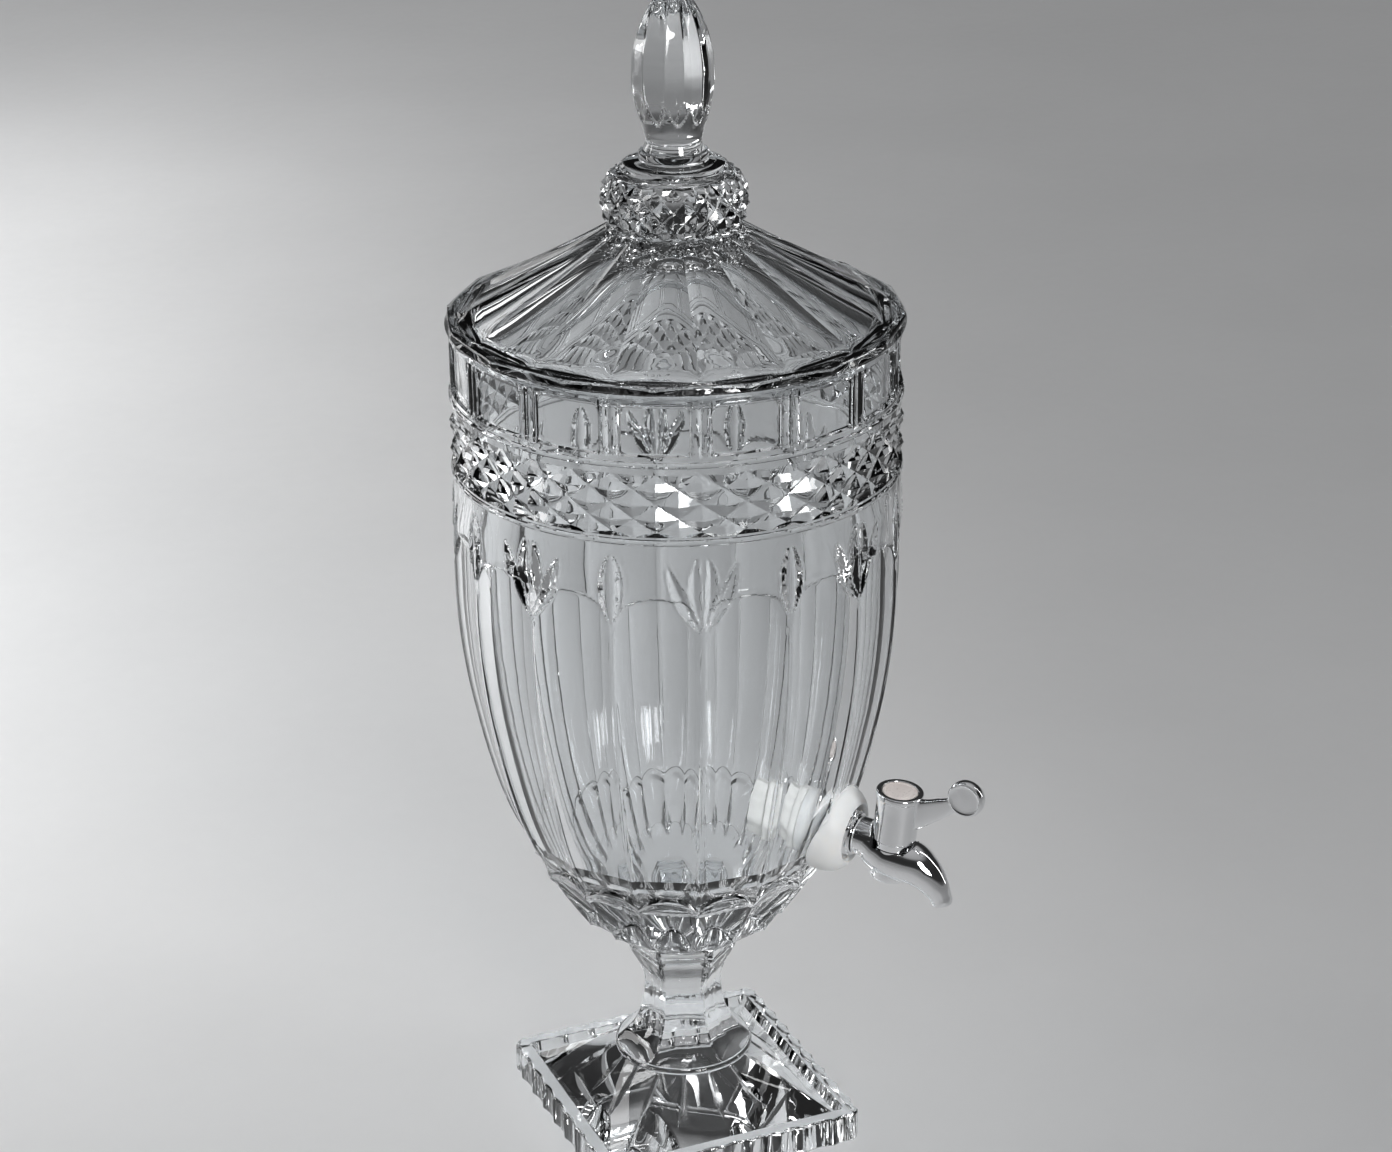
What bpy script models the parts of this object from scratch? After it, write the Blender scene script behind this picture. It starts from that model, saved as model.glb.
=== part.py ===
"""Footed crystal drink dispenser: pressed glass bowl, foot and lid, with a chromed quarter-turn tap.

Metres, +Z up. The origin is on the bowl's axis, on the flat underside of the foot.
The tap points to -Y. Angles round the bowl are counted from the tap's side.
"""

from math import cos, pi, radians, sin, sqrt
from typing import NamedTuple

import bmesh
import bpy
from mathutils import Vector

# Foot
FOOT_SIDE = 0.1335
FOOT_SLAB_HEIGHT = 0.0155
FOOT_TURN = radians(5.5)
FOOT_CORNER_CUT = 0.0060
FOOT_SCALLOP_DEPTH = 0.0014
FOOT_EDGE_BEVEL = 0.0012
FOOT_BORDER_WIDTH = 0.0075
FOOT_TRAY_DROP = 0.0040
FOOT_TRAY_SLOPE_WIDTH = 0.0025
FOOT_RING_RADIUS = 0.0336
FOOT_RING_HEIGHT = 0.0390
FOOT_RING_THICKNESS = 0.0034
FOOT_WEDGE_DEPTH = 0.0022
STEM_NECK_RADIUS = 0.0189
STEM_NECK_HEIGHT = 0.0730
COLLAR_LIP_RADIUS = 0.0262
COLLAR_LIP_DROP = 0.0090
COLLAR_RADIUS = 0.0290
FOOT_HEIGHT = 0.1000

# Bowl, heights from its underside
BOWL_RADIUS = 0.1030
BOWL_SEAT_RADIUS = 0.0292
BOWL_WALL = 0.0070
BOWL_RIM_WALL = 0.0048
BOWL_FLOOR = 0.0380
MOUTH_DEPTH = 0.0160
MOUTH_SHOULDER = 0.0080
RIM_ROUND = 0.0012
SCALLOP_RADIUS = 0.0500
SCALLOP_HEIGHT = 0.0198
SCALLOP_RISE = 0.0049
WAIST_RADIUS = 0.0698
WAIST_HEIGHT = 0.0480
WAIST_RISE = 0.0026
WAIST_STEP = 0.0010
FLUTE_DEPTH = 0.0022
FLUTE_ARCH_RISE = 0.0118
FLUTE_ARCH_FADE = 0.0044
LEAF_FOOT_HEIGHT = 0.2015
LEAF_RISE = 0.0370
LEAF_SPREAD = 0.0152
LEAF_DEPTH = 0.0014
SINGLE_LEAF_HALF_WIDTH = 0.0054
SPRIG_LEAF_HALF_WIDTH = 0.0025
LOWER_BEAD_HEIGHT = 0.2440
BEAD_THICKNESS = 0.0036
BEAD_PROUD = 0.0010
DIAMOND_LOWER_MARGIN = 0.0034
DIAMOND_BAND_HEIGHT = 0.0268
DIAMOND_UPPER_MARGIN = 0.0052
DIAMOND_DEPTH = 0.0021
PILLAR_BAND_HEIGHT = 0.0313
PILLAR_BAND_MARGIN = 0.0022
PILLAR_DEPTH = 0.0020
PILLAR_GROOVE = 0.0005
PILLAR_HALF_WIDTH = 0.0046
DIAMOND_BAND_START = LOWER_BEAD_HEIGHT + DIAMOND_LOWER_MARGIN
UPPER_BEAD_HEIGHT = DIAMOND_BAND_START + DIAMOND_BAND_HEIGHT + DIAMOND_UPPER_MARGIN
BOWL_HEIGHT = UPPER_BEAD_HEIGHT + PILLAR_BAND_HEIGHT

# Lid, with its knob
LID_OVERHANG = 0.0005
LID_RADIUS = BOWL_RADIUS + LID_OVERHANG
LID_FLANGE_HEIGHT = 0.0042
LID_FLANGE_BEVEL = 0.0012
LID_FLANGE_WIDTH = 0.0065
LID_CUSP_WIDTH = 0.0023
LID_RISE = 0.0500
LID_FLUTE_DEPTH = 0.0024
LID_WALL = 0.0058
LID_RIM_DEPTH = 0.0080
LID_RIM_WALL = 0.0050
LID_RIM_CLEARANCE = 0.0010
KNOB_SEAT_RISE = 0.0400
KNOB_ROOT_DEPTH = 0.0060
BULB_RADIUS = 0.0322
BULB_HEIGHT = 0.0245
BULB_EDGE_RADIUS = 0.0280
BULB_EDGE_HEIGHT = 0.0015
BULB_NECK_RADIUS = 0.0215
BULB_DIAMOND_DEPTH = 0.0013
DISC_RADIUS = 0.0238
DISC_HEIGHT = 0.0052
DISC_TOP_RADIUS = 0.0190
STEP_RADIUS = 0.0155
STEP_HEIGHT = 0.0066
NECK_FOOT_RADIUS = 0.0135
NECK_RADIUS = 0.0127
NECK_HEIGHT = 0.0035
BUD_RADIUS = 0.0184
BUD_HEIGHT = 0.0690
BUD_FLUTE_DEPTH = 0.0009
BUD_TIP_RADIUS = 0.0022

# Tap body, its height from the bowl's underside and reaches from the wall outwards along the shank
TAP_HEIGHT = 0.0735
TAP_TILT = radians(6.0)
SHANK_RADIUS = 0.0072
SHANK_INSIDE = 0.0388
NECK_START = 0.0134
TAP_NECK_LENGTH = 0.0110
TAP_NECK_RADIUS = 0.0092
WATERWAY_RADIUS = 0.0028
WATERWAY_TILT = radians(5.0)
HORN_RADIUS = 0.0110
HORN_DROP = 0.0053
SPOUT_TIP_RADIUS = 0.0049
SPOUT_TIP_REACH = 0.0590
SPOUT_TIP_DROP = 0.0213
BARREL_REACH = 0.0313
BARREL_RADIUS = 0.0096
BARREL_DEPTH = 0.0158
BARREL_TOP = 0.0012
BARREL_EDGE_BEVEL = 0.0025

# Washers, collar and nuts on the shank
OUTER_WASHER_RADIUS = 0.0213
OUTER_WASHER_HEIGHT = 0.0118
OUTER_WASHER_DEPTH = 0.0213
OUTER_WASHER_FLOOR = 0.0052
HEX_COLLAR_RADIUS = 0.0126
HEX_COLLAR_STEP_RADIUS = 0.0103
HEX_COLLAR_STEP_HEIGHT = 0.0022
INNER_WASHER_RADIUS = 0.0155
INNER_WASHER_END = 0.0148
SEAT_NUT_RADIUS = 0.0155
SEAT_NUT_THICKNESS = 0.0066
LOCK_NUT_RADIUS = 0.0135
LOCK_NUT_THICKNESS = 0.0148
NUT_LOBE_DEPTH = 0.0011
NUT_EDGE_BEVEL = 0.0010

# Valve, heights from the shank's axis
PLUG_RADIUS = 0.0063
PLUG_BOTTOM = -0.0125
PLUG_SHOULDER = -0.0012
PLUG_STEM_SIDE = 0.0060
PLUG_STEM_TOP = 0.0215
PLUG_PORT_RADIUS = 0.0026
PLUG_PORT_HEIGHT = -0.0064
RING_GROOVE_DEPTH = 0.0011
RING_GROOVE_HEIGHT = 0.0017
RING_SECTION_RADIUS = 0.00055
LOWER_RING_HEIGHT = -0.0106
UPPER_RING_HEIGHT = -0.0025
RETAINER_THICKNESS = 0.0017

# Handle, heights from the shank's axis and reaches from the handle's axis
CAP_RADIUS = 0.0103
CAP_FOOT_RADIUS = 0.0096
CAP_FOOT_HEIGHT = 0.0034
CAP_BOTTOM = 0.0016
CAP_TOP = 0.0296
CAP_BEAD_RADIUS = 0.0111
CAP_BEAD_HEIGHT = 0.0028
CAP_BEAD_ROUND = 0.0008
CAP_RECESS_RADIUS = 0.0085
CAP_RECESS_DEPTH = 0.0014
BADGE_THICKNESS = 0.0010
SCREW_RADIUS = 0.0014
SCREW_LENGTH = 0.0110
SCREW_HEAD_RADIUS = 0.0030
SCREW_HEAD_HEIGHT = 0.0022
SCREW_HEAD_ROUND = 0.0009
SCREW_SLOT_WIDTH = 0.0008
SCREW_SLOT_LENGTH = 0.0036
SCREW_SLOT_DEPTH = 0.0009
SCREW_SEAT_DROP = 0.0040
LEVER_THICKNESS = 0.0042
LEVER_ROOT_REACH = 0.0062
LEVER_ROOT_LOW = 0.0125
LEVER_ROOT_HIGH = 0.0280
LEVER_NECK_REACH = 0.0235
LEVER_NECK_LOW = 0.0232
LEVER_NECK_HIGH = 0.0335
LEVER_TIP_HALF_HEIGHT = 0.0038
PADDLE_RADIUS = 0.0088
PADDLE_REACH = 0.0322
PADDLE_HEIGHT = 0.0363
PADDLE_THICKNESS = 0.0056
PADDLE_EDGE_ROUND = 0.0016

# Fits
SEAT_GAP = 0.0003
RUNNING_GAP = 0.0003
GLASS_HOLE_CLEARANCE = 0.0012
OVERRUN = 0.0040
MERGE_DISTANCE = 0.00001

# Counts
COLUMNS = 64
MOTIF_COLUMNS = 4
WEDGE_COLUMNS = 4
DIAMOND_ROWS = 4
KNOB_COLUMNS = 40
BULB_ROWS = 6
BUD_FLUTES = 10
TURN_STEPS = 32
FINE_TURN_STEPS = 48
SMALL_TURN_STEPS = 16
RING_SIDES = 8
LEVER_STEPS = 4
NUT_LOBES = 8
HEX_SIDES = 6

# Bowl's outline above the waist: shares of the height to the lower bead and of the radius gained
BODY_OUTLINE_SHARES = (
    (0.00, 0.038), (0.075, 0.265), (0.155, 0.448), (0.255, 0.615), (0.365, 0.761),
    (0.480, 0.885), (0.600, 0.966), (0.715, 1.000), (0.790, 1.000),
)
# Bowl's floor: shares of the hollow's radius above it and of the height down to it
FLOOR_OUTLINE_SHARES = ((0.86, 0.48), (0.68, 0.83), (0.42, 0.97))
# Drops of one motif's columns, from the flute's middle to past the rib, as shares of a depth
FLUTE_DROP_SHARES = (1.00, 0.74, 0.00, 0.74)
ARCH_DROP_SHARES = (0.70, 0.00, 0.00, 0.00)
CUSP_DROP_SHARES = (-0.45, 0.00, 0.45, 0.00)
WAIST_DROP_SHARES = (-0.30, 0.00, 0.30, 0.00)
WAIST_FLUTE_SHARE = 0.60
# Leaves over the flutes: shares of the spread and the rise at the foot and at the tip, and of the spread
# that the spine is bowed by
SINGLE_LEAF_SHARES = (0.000, 0.081, 0.000, 1.000, 0.000)
OUTER_LEAF_SHARES = (0.040, 0.000, 1.000, 0.851, 0.105)
INNER_LEAF_SHARES = (0.033, 0.054, 0.151, 0.973, 0.145)
# A leaf's width between its ends, as shares of its length and of its half width
LEAF_WIDTH_SHARES = ((0.18, 0.62), (0.50, 1.00), (0.82, 0.62))
# The share by which a leaf's cutter is larger than the leaf, so that it stands out of the wall
LEAF_GROWTH_SHARE = 0.25
# Lid's flutes, from the flange to the bulb: shares of their length, rise and depth
LID_OUTLINE_SHARES = (
    (0.00, 0.000, 0.00), (0.10, 0.075, 0.80), (0.24, 0.165, 1.00), (0.42, 0.305, 1.00),
    (0.60, 0.480, 1.00), (0.80, 0.730, 0.80), (1.00, 1.000, 0.48),
)
# Bulb's curve between its edges: the share of a full round that its belly keeps
BULB_BELLY_SHARE = 0.60
# Heights of the disc's and the step's rings, as shares of the thickness of each
DISC_HEIGHT_SHARES = (0.25, 0.60, 1.00)
STEP_HEIGHT_SHARES = (0.15, 0.65, 0.75)
# Bud, from its neck up: shares of height, radius and flute depth
BUD_OUTLINE_SHARES = (
    (0.00, 0.690, 0.0), (0.10, 0.790, 0.0), (0.22, 0.920, 1.0), (0.36, 1.000, 1.0), (0.50, 0.985, 1.0),
    (0.64, 0.880, 1.0), (0.77, 0.700, 1.0), (0.89, 0.450, 1.0), (0.97, 0.230, 0.0),
)
# Foot's tray: shares of the way from its edge to the ring, and of the wedge cuts' depth
TRAY_SHARES = ((0.12, 0.0), (0.55, 1.0), (0.95, 1.0))
RING_EDGE_SHARES = (0.30, 0.70)
# Stem: shares of the height from ring to neck, of the radius gained there, and of a full round
FLARE_SHARES = ((0.00, 0.93, 1.0), (0.30, 0.55, 0.0), (0.62, 0.18, 0.0), (1.00, 0.00, 0.0))
# Stem above the neck: shares of the height to the collar's lip and of the radius gained
BELL_SHARES = ((0.42, 0.40), (1.00, 1.00))
# Horn from the neck to the barrel: shares of the reach, of its drop and of its radius
HORN_ROOT_SHARES = ((0.12, 0.00, 0.79), (0.34, 0.11, 0.86), (0.65, 0.57, 0.96), (1.00, 1.00, 1.00))
# Horn from the barrel to the spout's tip: shares of the reach, the drop and the taper
HORN_SPOUT_SHARES = (
    (0.34, 0.01, 0.09), (0.60, 0.19, 0.36), (0.83, 0.52, 0.71), (0.96, 0.84, 0.95), (1.00, 1.00, 1.00),
)
# Outer washer's dome: shares of its radius and of its height
WASHER_DOME_SHARES = ((0.69, 1.00), (0.75, 0.93), (0.89, 0.66), (0.98, 0.33), (1.00, 0.00))


class Bench(NamedTuple):
    """Where the pieces and the cutters go, and the empties that carry the tap and its handle."""

    parts: bpy.types.Collection
    cutters: bpy.types.Collection
    tap_frame: bpy.types.Object
    handle_axis: bpy.types.Object


def clear_scene():
    """Remove the objects that the scene opens with."""
    for thing in list(bpy.data.objects):
        bpy.data.objects.remove(thing, do_unlink=True)


def make_collection(name):
    """A new collection in the scene."""
    collection = bpy.data.collections.new(name)
    bpy.context.scene.collection.children.link(collection)
    return collection


def make_empty(name, location, rotation=(0, 0, 0), parent=None):
    """An empty that carries pieces."""
    empty = bpy.data.objects.new(name, None)
    bpy.context.scene.collection.objects.link(empty)
    empty.location = location
    empty.rotation_euler = rotation
    empty.parent = parent
    return empty


def make_material(name, colour, roughness, metallic=0.0, alpha=1.0):
    """A Principled material."""
    material = bpy.data.materials.new(name)
    material.use_nodes = True
    shader = material.node_tree.nodes["Principled BSDF"]
    shader.inputs["Base Color"].default_value = (*colour, 1.0)
    shader.inputs["Roughness"].default_value = roughness
    shader.inputs["Metallic"].default_value = metallic
    shader.inputs["Alpha"].default_value = alpha
    material.diffuse_color = (*colour, alpha)
    return material


def link_piece(name, data, collection, material=None, parent=None):
    """A new object for a mesh or a curve, in its collection and under its parent."""
    piece = bpy.data.objects.new(name, data)
    collection.objects.link(piece)
    piece.parent = parent
    if material is not None:
        data.materials.append(material)
    if collection.name == "cutters":
        piece.hide_render = True
        piece.display_type = "WIRE"
    return piece


def solid_mesh(piece):
    """Turn a piece with its modifiers into a plain mesh, welded, in the same place."""
    view = bpy.context.evaluated_depsgraph_get()
    mesh = bpy.data.meshes.new_from_object(piece.evaluated_get(view))
    form = bmesh.new()
    form.from_mesh(mesh)
    bmesh.ops.remove_doubles(form, verts=form.verts, dist=MERGE_DISTANCE)
    form.to_mesh(mesh)
    form.free()
    name = piece.name
    made = link_piece(name + "_solid", mesh, piece.users_collection[0], parent=piece.parent)
    made.location = piece.location
    made.rotation_euler = piece.rotation_euler
    bpy.data.objects.remove(piece, do_unlink=True)
    made.name = name
    mesh.name = name
    return made


def shade_round_faces(piece, sharp_angle=radians(32.0)):
    """Shade a piece smooth, with its edges kept sharp."""
    piece.data.shade_smooth()
    piece.data.set_sharp_from_angle(angle=sharp_angle)


def loft(name, sections, collection, material=None, parent=None):
    """A closed solid through rings of points, listed from low to high, with flat ends.

    Each four-sided face is parted along the diagonal that lies nearer the axis,
    so that a groove runs straight between the points where grooves cross.
    """
    mesh = bpy.data.meshes.new(name)
    form = bmesh.new()
    rings = [[form.verts.new(point) for point in section] for section in sections]
    for low, high in zip(rings, rings[1:]):
        count = len(low)
        for index in range(count):
            after = (index + 1) % count
            corners = (low[index], low[after], high[after], high[index])
            reach = [corner.co.xy.length for corner in corners]
            first = 0 if reach[0] + reach[2] <= reach[1] + reach[3] else 1
            opposite = (first + 2) % 4
            form.faces.new((corners[first], corners[first + 1], corners[opposite]))
            form.faces.new((corners[first], corners[opposite], corners[(first + 3) % 4]))
    form.faces.new(reversed(rings[0]))
    form.faces.new(rings[-1])
    form.to_mesh(mesh)
    form.free()
    return link_piece(name, mesh, collection, material, parent)


def turned(name, outline, collection, material=None, parent=None, steps=TURN_STEPS, closed=False):
    """A turned piece: an outline of (radius, height) points with a Screw modifier.

    A cutter starts a quarter of a step round, so that its corners miss those of what it cuts.
    """
    start = pi / 2 / steps if collection.name == "cutters" else 0
    mesh = bpy.data.meshes.new(name)
    points = [(radius * cos(start), radius * sin(start), height) for radius, height in outline]
    edges = [(index, index + 1) for index in range(len(outline) - 1)]
    if closed:
        edges.append((len(outline) - 1, 0))
    mesh.from_pydata(points, edges, [])
    piece = link_piece(name, mesh, collection, material, parent)
    screw = piece.modifiers.new("turn", "SCREW")
    screw.steps = steps
    screw.render_steps = steps
    screw.use_merge_vertices = True
    screw.merge_threshold = MERGE_DISTANCE
    return piece


def drum(name, radius, low, high, collection, material=None, parent=None, steps=TURN_STEPS):
    """A round bar between two heights."""
    outline = [(0, high), (radius, high), (radius, low), (0, low)]
    return turned(name, outline, collection, material, parent, steps)


def tube(name, route, radii, collection, material=None, parent=None, resolution=4, tilt=0.0):
    """A round tube along a route, with its own radius at each point and closed ends.

    A tilt turns its sides round the route, so that a cutter's corners miss those of what it cuts.
    """
    curve = bpy.data.curves.new(name, "CURVE")
    curve.dimensions = "3D"
    curve.bevel_depth = 1
    curve.bevel_resolution = resolution
    curve.use_fill_caps = True
    line = curve.splines.new("POLY")
    line.points.add(len(route) - 1)
    for point, place, radius in zip(line.points, route, radii):
        point.co = (*place, 1)
        point.radius = radius
        point.tilt = tilt
    return solid_mesh(link_piece(name, curve, collection, material, parent))


def flat_plate(name, outline, thickness, collection, material=None, parent=None):
    """A flat piece: a 2D outline of (y, z) points, extruded along X by its thickness."""
    curve = bpy.data.curves.new(name, "CURVE")
    curve.dimensions = "2D"
    curve.fill_mode = "BOTH"
    curve.extrude = thickness / 2
    line = curve.splines.new("POLY")
    line.points.add(len(outline) - 1)
    line.use_cyclic_u = True
    for point, (across, up) in zip(line.points, outline):
        point.co = (across, up, 0, 1)
    piece = link_piece(name, curve, collection, material, parent)
    piece.rotation_euler = (pi / 2, 0, pi / 2)
    return solid_mesh(piece)


def box(name, low, high, collection, material=None, parent=None):
    """A box between two corners."""
    mesh = bpy.data.meshes.new(name)
    form = bmesh.new()
    bmesh.ops.create_cube(form, size=1)
    middle = (Vector(low) + Vector(high)) / 2
    size = Vector(high) - Vector(low)
    for vert in form.verts:
        vert.co = vert.co * size + middle
    form.to_mesh(mesh)
    form.free()
    return link_piece(name, mesh, collection, material, parent)


def combine(piece, other, operation):
    """Add a Boolean modifier with the other piece."""
    modifier = piece.modifiers.new(operation.lower(), "BOOLEAN")
    modifier.operation = operation
    modifier.solver = "EXACT"
    modifier.object = other


def cut(piece, *cutters):
    """Cut pieces out."""
    for cutter in cutters:
        combine(piece, cutter, "DIFFERENCE")


def lay_along_tap(piece):
    """Turn a piece made along Z so that it lies along the shank, outwards."""
    piece.rotation_euler = (pi / 2, 0, 0)
    return piece


def cylinder_point(radius, angle, height):
    """A point at a radius and an angle from the tap's side, at a height."""
    turn = angle - pi / 2
    return Vector((radius * cos(turn), radius * sin(turn), height))


def round_section(radius, height, count=COLUMNS, start=0.0):
    """A round ring of points."""
    return [cylinder_point(radius, start + 2 * pi * index / count, height) for index in range(count)]


def motif_section(radius, height, depth, drop_shares, rise=0.0, pillar_half_width=None):
    """A ring of repeated motifs of four columns, from the flute's middle on, the third being the rib.

    A rise lifts the flute's middle and lowers the rib. A half width for pillars
    draws the columns beside the rib in towards it.
    """
    points = []
    step = 2 * pi / COLUMNS
    for index in range(COLUMNS):
        place = index % MOTIF_COLUMNS
        from_rib = place - MOTIF_COLUMNS // 2
        angle = index * step
        if pillar_half_width is not None and abs(from_rib) == 1:
            angle += from_rib * (pillar_half_width / radius - step)
        lift = rise * (abs(from_rib) - 1)
        points.append(cylinder_point(radius - depth * drop_shares[place], angle, height + lift))
    return points


def diamond_section(radius, height, depth, low_parity, count=COLUMNS):
    """A ring of a diamond-cut band: peaks and groove crossings take turns."""
    points = []
    for index in range(count):
        drop = depth if index % 2 == low_parity else 0
        points.append(cylinder_point(radius - drop, 2 * pi * index / count, height))
    return points


def polygon_section(radius, height, sides, first_corner, roundness=0.0):
    """A ring of a regular polygon of a corner radius, blended towards a circle.

    The columns start at the foot's corner, and the one nearest each corner of the ring is drawn onto it.
    """
    points = []
    step = 2 * pi / COLUMNS
    side = 2 * pi / sides
    for column in range(COLUMNS):
        angle = FOOT_TURN + column * step
        off_corner = (angle - first_corner + side / 2) % side - side / 2
        if abs(off_corner) < step / 2:
            angle -= off_corner
            off_corner = 0
        flat = radius * cos(side / 2) / cos(side / 2 - abs(off_corner))
        points.append(cylinder_point(flat + (radius - flat) * roundness, angle, height))
    return points


def stem_section(radius, height, roundness=0.0):
    """A ring of the six-sided stem, with one side facing the tap."""
    return polygon_section(radius, height, HEX_SIDES, pi / HEX_SIDES, roundness)


def slab_section(half_side, height):
    """A ring of the foot's scalloped slab: evenly parted sides and cut corners."""
    per_side = COLUMNS // 4
    points = []
    for column in range(COLUMNS):
        side, place = divmod(column, per_side)
        along = half_side * (2 * place / per_side - 1)
        out = half_side
        if place == 0:
            out -= FOOT_CORNER_CUT / 2
            along += FOOT_CORNER_CUT / 2
        elif place % 2 == 0:
            out -= FOOT_SCALLOP_DEPTH
        turn = side * pi / 2 + FOOT_TURN + pi / 4
        x = along * cos(turn) + out * sin(turn)
        y = along * sin(turn) - out * cos(turn)
        points.append(Vector((x, y, height)))
    return points


def tray_section(edge, ring, share, sink):
    """A ring of the foot's tray, between its square edge and the round ring, with sunk wedge cuts."""
    points = []
    for column, (outer, inner) in enumerate(zip(edge, ring)):
        spot = outer.lerp(inner, share)
        if column % WEDGE_COLUMNS == 0:
            spot.z -= sink
        points.append(spot)
    return points


def make_foot(bench, glass):
    """The pressed foot: scalloped square slab, tray with wedge cuts, ring, six-sided stem and collar."""
    half = FOOT_SIDE / 2
    border = half - FOOT_BORDER_WIDTH
    tray = border - FOOT_TRAY_SLOPE_WIDTH
    edge = polygon_section(tray * sqrt(2), FOOT_SLAB_HEIGHT - FOOT_TRAY_DROP, 4, FOOT_TURN)
    ring_low = FOOT_RING_HEIGHT - FOOT_RING_THICKNESS
    ring = round_section(FOOT_RING_RADIUS - FOOT_RING_THICKNESS / 2, ring_low, start=FOOT_TURN)
    sections = [
        slab_section(half - FOOT_EDGE_BEVEL, 0),
        slab_section(half, FOOT_EDGE_BEVEL),
        slab_section(half, FOOT_SLAB_HEIGHT - FOOT_EDGE_BEVEL),
        slab_section(half - FOOT_EDGE_BEVEL, FOOT_SLAB_HEIGHT),
        polygon_section(border * sqrt(2), FOOT_SLAB_HEIGHT, 4, FOOT_TURN),
        edge,
    ]
    for reach_share, depth_share in TRAY_SHARES:
        sections.append(tray_section(edge, ring, reach_share, FOOT_WEDGE_DEPTH * depth_share))
    for height_share in RING_EDGE_SHARES:
        height = ring_low + FOOT_RING_THICKNESS * height_share
        sections.append(round_section(FOOT_RING_RADIUS, height, start=FOOT_TURN))
    flare_height = STEM_NECK_HEIGHT - FOOT_RING_HEIGHT
    flare_width = FOOT_RING_RADIUS - STEM_NECK_RADIUS
    for height_share, width_share, roundness in FLARE_SHARES:
        radius = STEM_NECK_RADIUS + flare_width * width_share
        sections.append(stem_section(radius, FOOT_RING_HEIGHT + flare_height * height_share, roundness))
    bell_height = FOOT_HEIGHT - COLLAR_LIP_DROP - STEM_NECK_HEIGHT
    bell_width = COLLAR_LIP_RADIUS - STEM_NECK_RADIUS
    for height_share, width_share in BELL_SHARES:
        radius = STEM_NECK_RADIUS + bell_width * width_share
        sections.append(stem_section(radius, STEM_NECK_HEIGHT + bell_height * height_share))
    sections.append(stem_section(COLLAR_RADIUS, FOOT_HEIGHT))
    return loft("glass_foot", sections, bench.parts, glass)


def body_base():
    """The height of the bowl's fluted body, just above the waist."""
    return FOOT_HEIGHT + WAIST_HEIGHT + WAIST_RISE


def body_height():
    """The height of the bowl's body from the waist to the lower bead."""
    return LOWER_BEAD_HEIGHT - WAIST_HEIGHT - WAIST_RISE


def body_spot(height_share, radius_share):
    """The radius and the height on the bowl's body at shares of its height and of the radius gained."""
    radius = WAIST_RADIUS + (BOWL_RADIUS - WAIST_RADIUS) * radius_share
    return radius, body_base() + body_height() * height_share


def wall_radius_at(height):
    """The bowl's outer radius in a flute's middle at a height, between the outline's points."""
    spots = [body_spot(*shares) for shares in BODY_OUTLINE_SHARES]
    for (low_radius, low), (high_radius, high) in zip(spots, spots[1:]):
        if low <= height <= high:
            radius = low_radius + (high_radius - low_radius) * (height - low) / (high - low)
            return radius - FLUTE_DEPTH
    return BOWL_RADIUS


def mouth_radius():
    """The bowl's inner radius at its mouth."""
    return BOWL_RADIUS - BEAD_PROUD - RIM_ROUND - BOWL_RIM_WALL


def lid_rim_radius():
    """The outer radius of the lid's locating rim, from the bowl's mouth."""
    return mouth_radius() - LID_RIM_CLEARANCE


def base_sections(growth):
    """Rings of the bowl's base: seat, scalloped band and the waist's raised edge."""
    middle = (BOWL_SEAT_RADIUS + SCALLOP_RADIUS) / 2
    waist = FOOT_HEIGHT + WAIST_HEIGHT
    scallop = FOOT_HEIGHT + SCALLOP_HEIGHT
    return [
        round_section(BOWL_SEAT_RADIUS + growth, FOOT_HEIGHT + SEAT_GAP),
        round_section(middle + growth, FOOT_HEIGHT + SCALLOP_HEIGHT / 2),
        motif_section(SCALLOP_RADIUS + growth, scallop, SCALLOP_RISE, CUSP_DROP_SHARES, SCALLOP_RISE / 2),
        motif_section(WAIST_RADIUS + growth, waist, WAIST_RISE, WAIST_DROP_SHARES, WAIST_RISE / 2),
    ]


def body_sections(growth):
    """Rings of the bowl's fluted body, up to the arched tops of the flutes."""
    sections = []
    for index, shares in enumerate(BODY_OUTLINE_SHARES):
        radius, height = body_spot(*shares)
        depth = FLUTE_DEPTH
        if index == 0:
            depth *= WAIST_FLUTE_SHARE
            radius -= WAIST_STEP
        sections.append(motif_section(radius + growth, height, depth, FLUTE_DROP_SHARES))
    arch = height + FLUTE_ARCH_RISE
    sections.append(motif_section(BOWL_RADIUS + growth, arch, FLUTE_DEPTH, ARCH_DROP_SHARES))
    sections.append(round_section(BOWL_RADIUS + growth, arch + FLUTE_ARCH_FADE))
    return sections


def bead_sections(growth, height):
    """Rings of a bead round the bowl."""
    plain = BOWL_RADIUS - BEAD_PROUD + growth
    half = BEAD_THICKNESS / 2
    return [
        round_section(plain, height - half),
        round_section(plain + BEAD_PROUD, height),
        round_section(plain, height + half),
    ]


def diamond_sections(growth):
    """Rings of the diamond-cut band between the beads."""
    start = FOOT_HEIGHT + DIAMOND_BAND_START
    row = DIAMOND_BAND_HEIGHT / DIAMOND_ROWS
    sections = []
    for index in range(DIAMOND_ROWS + 1):
        inset = BEAD_PROUD if index in (0, DIAMOND_ROWS) else 0
        radius = BOWL_RADIUS - inset + growth
        sections.append(diamond_section(radius, start + row * index, DIAMOND_DEPTH, index % 2))
    return sections


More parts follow.
